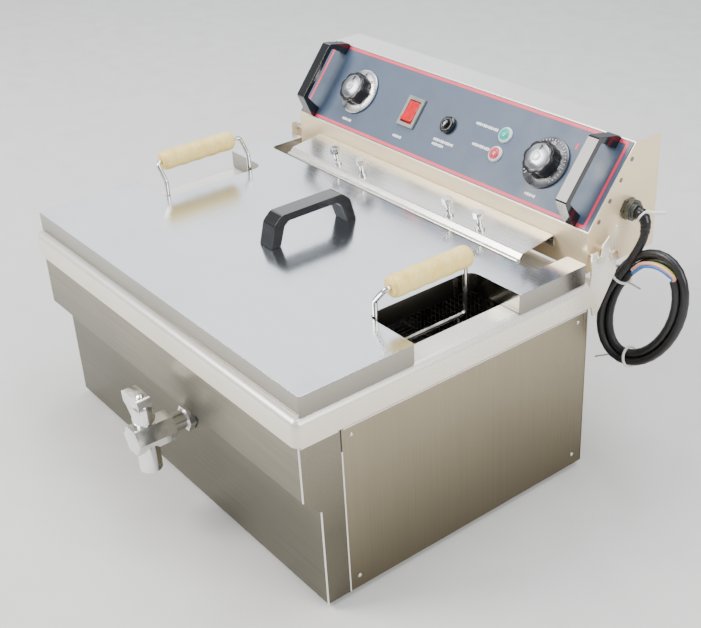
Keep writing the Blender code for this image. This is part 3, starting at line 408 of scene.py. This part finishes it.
def plates(name, boxes, body, material, slot, at=None, **options):
    """Small boxes, each (low corner, high corner) in millimetres of the place given, as one piece."""
    bm = bmesh.new()
    for low, high in boxes:
        low, high = Vector(low) * MM, Vector(high) * MM
        cube = bmesh.ops.create_cube(bm, size=1)["verts"]
        bmesh.ops.scale(bm, vec=high - low, verts=cube)
        bmesh.ops.translate(bm, vec=(low + high) / 2, verts=cube)
    mesh = mesh_from(bm, name)
    mesh.shade_flat()
    return add_piece(name, mesh, body, material, slot, at=at, **options)


def circle(count):
    """Evenly spaced angles round a full turn."""
    return [2 * math.pi * k / count for k in range(count)]


def tube(bm, rings):
    """A closed skin through rings of as many vertices each, with both ends capped."""
    count = len(rings[0])
    for lower, upper in zip(rings, rings[1:]):
        for k in range(count):
            bm.faces.new((lower[k], lower[(k + 1) % count], upper[(k + 1) % count], upper[k]))
    bm.faces.new(rings[0][::-1])
    bm.faces.new(rings[-1])


def in_metres(points):
    """The spots of a list of points."""
    return [spot(*p) for p in points]


def smooth_path(route, spacing):
    """Points at about this spacing on a Catmull-Rom curve through the route's own points."""
    route = [Vector(p) for p in route]
    ends = [2 * route[0] - route[1], *route, 2 * route[-1] - route[-2]]
    points = []
    for a, b, c, d in zip(ends, ends[1:], ends[2:], ends[3:]):
        count = max(1, round((c - b).length / spacing))
        for k in range(count):
            t = k / count
            cubic = (3 * b - a - 3 * c + d) * t ** 3 + (2 * a - 5 * b + 4 * c - d) * t ** 2
            points.append((cubic + (c - a) * t) / 2 + b)
    return points + [route[-1]]


def round_loop(points, radius, steps=6):
    """A closed polyline with each corner replaced by an arc."""
    points = [Vector(p) for p in points]
    result = []
    for i, corner in enumerate(points):
        before = (points[i - 1] - corner).normalized()
        after = (points[(i + 1) % len(points)] - corner).normalized()
        half = before.angle(after) / 2
        centre = corner + (before + after).normalized() * radius / math.sin(half)
        first = corner + before * radius / math.tan(half) - centre
        last = corner + after * radius / math.tan(half) - centre
        sweep = first.angle(last)
        for k in range(steps + 1):
            part = k / steps
            blend = first * math.sin((1 - part) * sweep) + last * math.sin(part * sweep)
            result.append(centre + blend / math.sin(sweep))
    return result


# ---------------------------------------------------------------- camera, floor, light

def make_camera():
    """The main view."""
    camera = bpy.data.objects.new("camera", bpy.data.cameras.new("camera"))
    camera.data.lens = LENS
    camera.data.sensor_width = 36
    level = math.cos(VIEW_ELEVATION)
    look = Vector((-math.sin(VIEW_AZIMUTH) * level, math.cos(VIEW_AZIMUTH) * level,
                   -math.sin(VIEW_ELEVATION)))
    turn = look.to_track_quat("-Z", "Y") @ Quaternion((0, 0, 1), VIEW_ROLL)
    camera.matrix_world = Matrix.Translation(spot(*CAMERA_AT)) @ turn.to_matrix().to_4x4()
    bpy.context.scene.collection.objects.link(camera)
    bpy.context.scene.camera = camera


def make_light(name, place, aim, size, power, colour):
    light = bpy.data.lights.new(name, "AREA")
    light.shape = "RECTANGLE"
    light.size, light.size_y = size
    light.energy = power
    light.color = colour
    obj = bpy.data.objects.new(name, light)
    obj.location = place
    obj.rotation_euler = (Vector(aim) - Vector(place)).to_track_quat("-Z", "Y").to_euler()
    bpy.context.scene.collection.objects.link(obj)


def make_studio():
    """A pale floor, a soft sky, and four large lights."""
    bm = bmesh.new()
    bmesh.ops.create_grid(bm, x_segments=1, y_segments=1, size=6)
    floor = bpy.data.objects.new("floor", mesh_from(bm, "floor"))
    floor.location = (0, 0, -0.0005)
    floor.data.materials.append(plastic("pale_floor", (0.72, 0.72, 0.71), 0.6, 0.03, 60))
    bpy.context.scene.collection.objects.link(floor)
    world = bpy.context.scene.world or bpy.data.worlds.new("world")
    bpy.context.scene.world = world
    world.use_nodes = True
    background = world.node_tree.nodes["Background"]
    background.inputs["Color"].default_value = (0.72, 0.76, 0.82, 1)
    background.inputs["Strength"].default_value = 0.65
    make_light("key", (-1.4, -1.9, 2.3), (0, 0, 0.15), (1.6, 1.6), 140, (1.0, 0.97, 0.92))
    make_light("side", (2.2, 0.4, 1.5), (0, 0, 0.2), (1.2, 1.6), 48, (1.0, 0.96, 0.90))
    make_light("rear", (-2.35, 1.2, 1.75), (0, 0, 0.2), (2.2, 1.5), 15, (0.96, 0.98, 1.0))
    make_light("top", (0.1, 0.5, 2.4), (0, 0, 0.2), (2.0, 1.2), 50, (0.93, 0.96, 1.0))


# ---------------------------------------------------------------- supply cord

def coil_frame(turn):
    """A point on the coil's middle line, and the outward direction there."""
    x, z = COIL_HALF
    point = Vector((COIL_CENTRE[0] + x * math.cos(turn), COIL_CENTRE[1],
                    COIL_CENTRE[2] + z * math.sin(turn + COIL_SKEW)))
    along = Vector((-x * math.sin(turn), 0, z * math.cos(turn + COIL_SKEW))).normalized()
    return point, Vector((along.z, 0, -along.x)), along


def coil_strand(turn, reach=5.3):
    """A point of the cord in its coil. Its three turns lie in a triangle round the middle line."""
    point, outward, _ = coil_frame(turn)
    lean = (turn - COIL_START) / 3 - QUARTER
    return point + reach * (math.cos(lean) * outward + math.sin(lean) * Vector((0, 1, 0)))


def make_cord():
    """The supply cord: a short lead down from the gland, then the hanging coil."""
    lead = [CORD_EXIT, (273, 415.8, 292.8), (278, 414.5, 286), (279.5, 412.5, 276), (278.5, 409, 265),
            (271.5, 404.5, 246)]
    steps, spacing = 84, 7
    turns = [coil_strand(COIL_START + (COIL_STOP - COIL_START) * i / steps) for i in range(steps + 1)]
    points = smooth_path([Vector(p) for p in lead] + turns[:1], spacing)[:-1] + turns
    cord = wire("supply_cord_look", [in_metres(points)], CORD_DIAMETER / 2, "control_head",
                RUBBER, "cord_rubber", sides=8, stands_for=["supply_cord", "supply_cord_coil"])
    extras = [make_strain_relief(points)] + make_cores() + make_ties()


def make_strain_relief(points):
    """A tapered, ribbed rubber sleeve on the first stretch of the lead, out of the gland's nose."""
    length, ring_spacing, sides = 22, 1.2, 24
    wide_end, taper, crest, trough = 6.6, 1.7, 0.2, -0.1
    reach, covered = 0.0, [points[0]]
    for a, b in zip(points, points[1:]):
        reach += (b - a).length
        covered.append(b)
        if reach > length:
            break
    path = in_metres(smooth_path(covered, ring_spacing))
    last = len(path) - 1
    bm = bmesh.new()
    rings = []
    for i, place in enumerate(path):
        way = path[min(i + 1, last)] - path[max(i - 1, 0)]
        turn = way.to_track_quat("Z", "Y").to_matrix()
        rib = crest if i % 4 < 2 else trough
        radius = (wide_end - taper * i / last + rib) * MM
        rings.append([bm.verts.new(place + turn @ (Vector((math.cos(a), math.sin(a), 0)) * radius))
                      for a in circle(sides)])
    tube(bm, rings)
    return add_piece("strain_relief", mesh_from(bm, "strain_relief"), "control_head", KNOB_BLACK,
                     "cord_rubber")


def make_cores():
    """Three bare cores that run on from the cut sheath, along the inside of the coil's top."""
    radius, spacing = 1.9, 3
    sheath_end = coil_strand(COIL_STOP)
    bend = Vector((328.5, 402.2, 246))
    arch_y = 401
    arch = [(324, 249.5), (313, 252.5), (300, 251.5), (287, 246), (277, 235.5)]
    cores = []
    for name, colour, rise, back in (("core_brown", (0.85, 0.42, 0.30), 1.7, -1.4),
                                     ("core_blue", (0.02, 0.22, 0.72), -2.0, -0.6),
                                     ("core_earth", (0.45, 0.60, 0.08), 0.6, 2.2)):
        route = [sheath_end + Vector((0.4 * rise, 0.5 * back, -1)),
                 bend + Vector((0.5 * rise, back * 0.6, 0.5 * rise))]
        route += [Vector((x, arch_y + back, z + rise)) for x, z in arch]
        cores.append(wire(name, [in_metres(smooth_path(route, spacing))], radius * MM, "control_head",
                          plastic(name, colour, 0.3), "cord_rubber", sides=5))
    return cores


def make_tie(name, loop, thick, tail, tail_thick, tail_sides=2):
    """A white cable tie: its loop round a bundle, then its loose tail. Thicknesses are radii.

    The loop is (centre, one direction of its plane, the other, radius).
    """
    centre, across, along, reach = loop
    ring = [centre + reach * (math.cos(a) * along + math.sin(a) * across) for a in circle(28)]
    look = ("control_head", TIE, "inner_plastic")
    return [wire(name, [in_metres(ring)], thick * MM, *look, closed=True, sides=3),
            wire(name + "_tail", [in_metres(smooth_path(tail, 3))], tail_thick * MM, *look,
                 sides=tail_sides)]


def make_ties():
    """Cable ties on the lead at the gland and at two places round the coil."""
    depth = Vector((0, 1, 0))
    ties = []
    for name, turn, inner, steps in (("tie_upper", 128, True, ((6, -1, 1), (20, -3, 1))),
                                     ("tie_lower", 258, False, ((-22, 2, -10), (-62, 4, -34)))):
        point, outward, _ = coil_frame(math.radians(turn))
        root = point - 11 * outward if inner else point + 11 * depth
        tail = [root] + [root + Vector(step) for step in steps]
        ties += make_tie(name, (point, depth, outward, 11.3), 1.5, tail, 1.1)
    centre, slope = Vector((273.5, 415.6, 292.4)), Vector((0.45, 0, 0.89))
    root = centre + slope * 7
    tail = [root] + [root + Vector(step) for step in ((4, 5, -1.5), (8, 11, -2), (11.5, 16.5, -2.5))]
    return ties + make_tie("tie_gland", (centre, depth, slope, 6.9), 1.2, tail, 2.1, tail_sides=3)


# ---------------------------------------------------------------- basket

def make_basket():
    """A basket of fine woven wire on a heavier frame, inside the CAD box's outer shape."""
    rod, hook, strand, pitch = 2.0 * MM, 1.6 * MM, 0.65 * MM, 6.5 * MM
    inset, corner, mesh_gap, loop_gap = 2.9 * MM, 24 * MM, 3.2 * MM, 3.9 * MM
    low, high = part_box("basket")
    x, y0, y1 = high.x - inset, low.y + inset, high.y - inset
    z0, z1 = low.z + 1.0 * MM, high.z - inset

    def ring(height, shrink=0.0):
        flat = [(-x + shrink, y0 + shrink, height), (x - shrink, y0 + shrink, height),
                (x - shrink, y1 - shrink, height), (-x + shrink, y1 - shrink, height)]
        return round_loop(flat, corner - shrink, 8)

    # The basket's frame and mesh take the wire darkened as painted shade
    wire("basket_rim", [ring(z1), ring(z0 + 1.6 * MM, 1.5 * MM)], rod, "basket", SHADED_WIRE,
         "wire_chrome", closed=True, sides=4, stands_for=["basket"])
    hook_shape = ((197.6, 216), (198.6, 211), (200.4, 206.6), (200.4, 196))
    hooks = [[spot(sign * out, y, z) for out, z in hook_shape]
             for sign in (-1, 1) for y in (132, 227)]
    wire("basket_hooks", hooks, hook, "basket", WIRE, "wire_chrome", sides=4)
    mesh_x, mesh_y0, mesh_y1 = x - mesh_gap, y0 + mesh_gap, y1 - mesh_gap
    floor, top = z0 + 3.6 * MM, z1 - 1.0 * MM
    over = floor + 1 * MM
    runs = []
    for i in range(round(2 * (mesh_x - corner) / pitch) + 1):
        px = -mesh_x + corner + i * pitch
        runs.append([(px, mesh_y0, top), (px, mesh_y0, floor),
                     (px, mesh_y1, floor), (px, mesh_y1, top)])
    for i in range(round((mesh_y1 - mesh_y0 - 2 * corner) / pitch) + 1):
        py = mesh_y0 + corner + i * pitch
        runs.append([(-mesh_x, py, top), (-mesh_x, py, over), (mesh_x, py, over), (mesh_x, py, top)])
    wire("basket_mesh", runs, strand, "basket", SHADED_WIRE, "wire_chrome", sides=1)
    loops = [ring(floor + i * pitch, loop_gap) for i in range(int((top - floor) / pitch) + 1)]
    wire("basket_mesh_loops", loops, strand, "basket", SHADED_WIRE, "wire_chrome", closed=True, sides=1)


def make_bails():
    """Smooth bright wire loops, and the waved rollers that turn on them."""
    y0, y1, low, knee = 121.5, 237.9, 216, 273.8
    bail_x, grip_x, grip_z = 197.6, 214.5, 292.5
    wire_radius, corner = 2.7, 5.4
    half, shift, bore, thick = 49.5, 3.0, 3.1, 11.4
    steps = 60
    profile = [(bore, shift + half)]
    for i in range(steps + 1):
        along = 1 - 2 * i / steps
        wave = 0.32 * math.cos(5 * math.pi * along)
        shoulder = 2.4 * abs(along) ** 40
        profile.append((thick + wave - shoulder, shift + along * half))
    profile.append((bore, shift - half))
    for side, sign in (("left", -1), ("right", 1)):
        path = [(sign * bail_x, y0, low), (sign * bail_x, y1, low), (sign * bail_x, y1, knee),
                (sign * grip_x, y1, grip_z), (sign * grip_x, y0, grip_z), (sign * bail_x, y0, knee)]
        loop = round_loop(in_metres(path), corner * MM, 8)
        wire(f"bail_{side}_look", [loop], wire_radius * MM, "basket", WIRE, "wire_chrome", closed=True,
             sides=6, stands_for=[f"basket_bail_{side}"])
        at = facing((sign * grip_x, (y0 + y1) / 2, grip_z), QUARTER, "X")
        turned(f"grip_{side}_look", profile, f"grip_{side}", GRIP, "cream_grip", at, 48,
               stands_for=[f"basket_grip_{side}"])


# ---------------------------------------------------------------- control panel

def dial_angle(step, steps):
    """The angle of a mark on a dial that runs 270 degrees round from its lower left."""
    return math.radians(225 - 270 * step / steps)


def make_dial(name, x, numbers, skirt, ink):
    """A scalloped knob with a silver cap on a printed skirt."""
    at = panel_place(x, KNOB_UP)
    base = 2.4
    top = base + 17.3
    slot = "black_plastic"
    turned(name + "_skirt", [(28.9, base), (28.9, base + 1.1), (27.6, base + 2.2), (19, base + 3.4),
                             (19, base)], name, skirt, slot, at, 72, stands_for=[name])
    make_scallops(name, base, at)
    turned(name + "_cap", [(0, top + 2.2), (4.6, top + 2.2), (5.1, top + 1.7), (5.4, top + 2.0),
                           (6.2, top + 2.0), (14.2, top + 0.6), (14.9, top), (0, top)],
           name, SILVER, slot, at, 64)
    turned(name + "_button", [(3.0, top + 2.1), (3.0, top + 2.5), (4.6, top + 2.5), (4.8, top + 2.1)],
           name, PRINT_WHITE, slot, at, 48)
    plates(name + "_pointer", [((-0.7, 7.2, top + 1.2), (0.7, 13.6, top + 2.05))], name, KNOB_BLACK,
           slot, at)
    make_ticks(name, base + 2.62, ink, at)
    for i, number in enumerate(numbers):
        turn = dial_angle(i, len(numbers) - 1)
        make_number(f"{name}_number_{i}", number, turn, base + 3.2, name, ink, at)


def make_scallops(name, base, at):
    """The black knob between skirt and cap, with eight hollows round it."""
    steps, radius, hollows, depth = 96, 20.4, 8, 1.7
    bm = bmesh.new()
    rings = []
    for height, inset in ((2.6, 0), (14.8, 0.5), (16.2, 1.0), (17.0, 2.2), (17.2, 5)):
        ring = []
        for turn in circle(steps):
            reach = radius - inset - depth * (0.5 - 0.5 * math.cos(hollows * turn)) ** 2
            place = Vector((reach * math.cos(turn), reach * math.sin(turn), base + height))
            ring.append(bm.verts.new(place * MM))
        rings.append(ring)
    tube(bm, rings)
    mesh = mesh_from(bm, name + "_grip")
    mesh.set_sharp_from_angle(angle=math.radians(50))
    add_piece(name + "_grip", mesh, name, KNOB_BLACK, "black_plastic", at=at)


def make_ticks(name, height, ink, at):
    """The dial's 31 lines, every fifth one longer, as one piece."""
    reach, width, thick, count = 26.6, 0.64, 0.25, 31
    bm = bmesh.new()
    for i in range(count):
        length = 1.8 if i % 5 else 3.2
        line = bmesh.ops.create_cube(bm, size=1)["verts"]
        bmesh.ops.scale(bm, vec=Vector((length, width, thick)) * MM, verts=line)
        bmesh.ops.translate(bm, vec=Vector((reach - length / 2, 0, height)) * MM, verts=line)
        spin = Matrix.Rotation(dial_angle(i, count - 1), 3, "Z")
        bmesh.ops.rotate(bm, cent=(0, 0, 0), matrix=spin, verts=line)
    mesh = mesh_from(bm, name + "_ticks")
    mesh.shade_flat()
    add_piece(name + "_ticks", mesh, name, ink, "black_plastic", at=at)


def make_number(name, text, turn, height, body, ink, at):
    """A number of the dial, its foot towards the middle."""
    reach = 21.9
    curve = bpy.data.curves.new(name, "FONT")
    curve.body = text
    curve.size = 4.4 * MM
    curve.extrude = 0.1 * MM
    curve.align_x = "CENTER"
    curve.align_y = "CENTER"
    place = Vector((reach * math.cos(turn), reach * math.sin(turn), height)) * MM
    spin = Matrix.Rotation(turn - QUARTER, 4, "Z")
    add_piece(name, curve, body, ink, "black_plastic", at=at @ Matrix.Translation(place) @ spin)


def make_print():
    """The printed sheet's red border line, and plain white bars where labels go."""
    margin, line = 2.6, 3.4
    left, right, low, high = -246, 246, margin, PANEL_LENGTH - margin
    border = [((left, low), (right, low + line)), ((left, high - line), (right, high)),
              ((left, low + line), (left + line, high - line)),
              ((right - line, low + line), (right, high - line))]
    labels = ((-KNOB_X, 14, 9), (KNOB_X, 14, 8), (-65, 18, 8), (9, 32, 17), (3, 26.5, 10),
              (60, 66.5, 18), (65, 43, 14))
    bars = []
    for x, up, half in labels:
        count = round(half / 1.5)
        step = 2 * half / count
        for i in range(count):
            start = x - half + i * step
            tall = 1.7 if i % 3 else 1.3
            bars.append(((start, up - tall), (start + step * 0.76, up + tall)))
    heat_mark = [((KNOB_X + 25.5, 76), (KNOB_X + 28, 83))]
    for name, areas, ink in (("panel_border", border, PRINT_RED),
                             ("panel_label_bars", bars, PRINT_WHITE),
                             ("panel_heat_mark", heat_mark, PRINT_RED)):
        boxes = [((*near, PRINT_FACE), (*far, INK_FACE)) for near, far in areas]
        plates(name, boxes, "control_head", ink, "panel_print", PANEL)


def make_lamps():
    """White rings round domed lenses."""
    dome = [(0, 6.9), (3.0, 6.7), (5.4, 5.8), (6.7, 4.2), (6.7, 2), (5.7, 1.5), (5.7, -19), (0, -19)]
    ring = [(6.9, 1.5), (6.9, 4.2), (7.3, 4.6), (8.3, 4.0), (9.1, 2.6), (9.2, 1.5)]
    for node, lens, x, up in (("power_pilot_lamp", GREEN_LAMP, 91, 64.5),
                              ("heat_pilot_lamp", PINK_LAMP, 90.5, 41)):
        at = panel_place(x, up)
        turned(node + "_lens", dome, "control_head", lens, "lamp_green", at, 48, stands_for=[node])
        turned(node + "_ring", ring, "control_head", PRINT_WHITE, "inner_plastic", at, 48)


def make_reset():
    """A black ring round the reset button."""
    turned("reset_ring", [(5.4, 6.5), (8.6, 6.5), (9.0, 6.9), (8.4, 7.3), (6.0, 7.3), (5.4, 6.9)],
           "control_head", KNOB_BLACK, "black_plastic", panel_place(5.2, 52), 48)


def make_welds(side, sign):
    """Spot welds along one end of the head, beside the panel's edge."""
    weld = [(0, 0.12), (1.4, 0.1), (2.2, 0.25), (2.7, 0.0), (0, -0.1)]
    first, spacing, depth, head_side = 16, 24, 7, 252
    up = Vector((0, math.cos(PANEL_TILT), math.sin(PANEL_TILT)))
    inward = Vector((0, math.sin(PANEL_TILT), -math.cos(PANEL_TILT)))
    foot = Vector((sign * head_side, *PANEL_FOOT))
    for i in range(4):
        place = foot + up * (first + spacing * i) + inward * depth
        turned(f"spot_weld_{side}_{i}", weld, "control_head", WELD, "casing_steel",
               facing(place, sign * QUARTER, "Y"), 24)


def make_rivets(side, sign):
    """The rivets that hold one side panel."""
    rivet = [(0, 0.9), (1.2, 0.8), (2.1, 0.3), (2.3, 0), (0, -0.1)]
    for i, (y, z) in enumerate(((40, 190), (340, 190), (40, 20), (340, 20))):
        turned(f"rivet_{side}_{i}", rivet, "casing", STEEL["side"], "casing_steel",
               facing((sign * CASING_SIDE, y, z), sign * QUARTER, "Y"), 24)


def make_back_screws():
    """The screws of the head's back cover and of the casing's back panel."""
    screw = [(0, 1.1), (0.5, 1.1), (0.6, 0.6), (1.6, 1.0), (2.6, 0.6), (2.9, 0), (0, -0.1)]
    rows = (("cover_screw", "control_head", COVER_BACK, 238, (250, 352)),
            ("back_rivet", "casing", CASING_BACK, 250, (18, 190)))
    for prefix, body, y, reach, heights in rows:
        places = [(x, y, z) for x in (-reach, 0, reach) for z in heights]
        for i, place in enumerate(places):
            at = facing(place, -QUARTER, "X")
            turned(f"{prefix}_{i}", screw, body, SCREW, "casing_steel", at, 24)


def make_fold_highlights():
    """Painted highlights along the casing's folds at its corners and seams, and a painted shadow at
    each seam's top.
    """
    apron_y, seam_y, back_y = -19.1, 28.2, 352
    apron_low, chamfer_low, seam_top, shadow_top, foot, under = 140.4, 120.1, 176, 203, 6, 200.4
    fold_highlights, shadows = [], []
    for sign in (-1, 1):
        x = sign * (CASING_SIDE - 0.3)
        inner, outer = x - sign * 0.3, x + sign * 0.5
        fold_highlights += [[spot(x, apron_y + 0.4, 229), spot(x, apron_y + 0.4, apron_low)],
                  [spot(x, 0.4, chamfer_low), spot(x, 0.4, foot)],
                  [spot(x, seam_y, seam_top), spot(x, seam_y, foot)],
                  [spot(inner, seam_y + 3, under - 1), spot(inner, back_y, under - 1)],
                  [spot(x, apron_y + 2, under), spot(x, seam_y - 3, under)]]
        shadows.append(((min(x, outer), seam_y - 1.0 - ORIGIN_Y, seam_top),
                        (max(x, outer), seam_y + 0.4 - ORIGIN_Y, shadow_top)))
    # Bright wires as painted highlights on the folds, and black plates as painted shadow in the seams
    wire("casing_fold_highlights", fold_highlights, 0.9 * MM, "casing", FOLD_HIGHLIGHT, "casing_steel", sides=3)
    plates("seam_shadows", shadows, "casing", KNOB_BLACK, "casing_steel")


# ---------------------------------------------------------------- assembly

# CAD nodes whose shape stays, with rounded edges: node, material, slot, rounding in millimetres
REFINED = (
    ("lid", STEEL["lid"], "lid_steel", 0.5),
    ("rim_frame", STEEL["rim"], "rim_steel", 0.3),
    ("front_panel", STEEL["front"], "casing_steel", 0.5),
    ("side_panel_left", STEEL["side"], "casing_steel", 0.3),
    ("side_panel_right", STEEL["side"], "casing_steel", 0.3),
    ("back_panel", STEEL["side"], "casing_steel", 0.3),
    ("head_shell", STEEL["head"], "casing_steel", 0.25),
    ("head_back_cover", STEEL["head"], "casing_steel", 0.3),
    ("element_cover", STEEL["cover"], "casing_steel", 0.3),
    ("panel_handle_left", BLACK, "black_plastic", 1.8),
    ("panel_handle_right", BLACK, "black_plastic", 1.8),
    ("lid_handle", BLACK, "black_plastic", 3.6),
    ("switch_body", BEZEL, "black_plastic", 0.7),
    ("power_rocker", RED_LENS, "rocker_red", 1.6),
    ("tap_body", CHROME, "tap_chrome", 0.9),
    ("tap_lever", CHROME, "tap_chrome", 1.6),
    ("tap_lock_nut", CHROME, "tap_chrome", 0.7),
    ("cover_bolt_1", CHROME, "tap_chrome", 0.4),
    ("cover_bolt_2", CHROME, "tap_chrome", 0.4),
    ("cover_bolt_3", CHROME, "tap_chrome", 0.4),
    ("cover_bolt_4", CHROME, "tap_chrome", 0.4),
    ("gland_body", GLAND, "black_plastic", 0.5),
    ("gland_nut", GLAND, "black_plastic", 0.7),
    ("panel_overlay", PRINT, "panel_print", 0.15),
)

# CAD nodes shown as they are, by material
KEPT = {
    STEEL["tank"]: ("oil_tank", "base_plate", "element_bracket"),
    CHROME: ("drain_pipe", "tap_plug", "tap_lever_screw", "thermostat_bulb", "limiter_bulb"),
    SCREW: ("head_screw_front_left", "head_screw_front_right", "head_screw_rear_left",
            "head_screw_rear_right"),
    BLACK: ("limiter_body",),
    ELEMENT: ("heating_element_left", "heating_element_right"),
    GLOSS: ("reset_button",),
    FOOT: ("foot_front_left", "foot_front_right", "foot_rear_left", "foot_rear_right"),
    INNER: ("timer", "thermostat", "contactor", "terminal_block"),
}


def dress_cad_nodes():
    """Gives every CAD node that is seen its rounded copy or its material."""
    for node, material, slot, width in REFINED:
        refine(node, material, slot, width)
    for material, nodes in KEPT.items():
        for node in nodes:
            for place in frame["nodes"][node].material_slots:
                place.material = material


make_camera()
make_cord()
make_studio()
dress_cad_nodes()
make_basket()
make_bails()
make_dial("timer_knob", -KNOB_X, ("0", "10", "20", "30", "40", "50", "60"), SKIRT_LIGHT, KNOB_BLACK)
make_dial("thermostat_knob", KNOB_X, ("0", "60", "90", "120", "150", "180", "200"), SKIRT_DARK,
          PRINT_WHITE)
make_print()
make_lamps()
make_reset()
for side, sign in (("left", -1), ("right", 1)):
    make_welds(side, sign)
    make_rivets(side, sign)
make_back_screws()
make_fold_highlights()
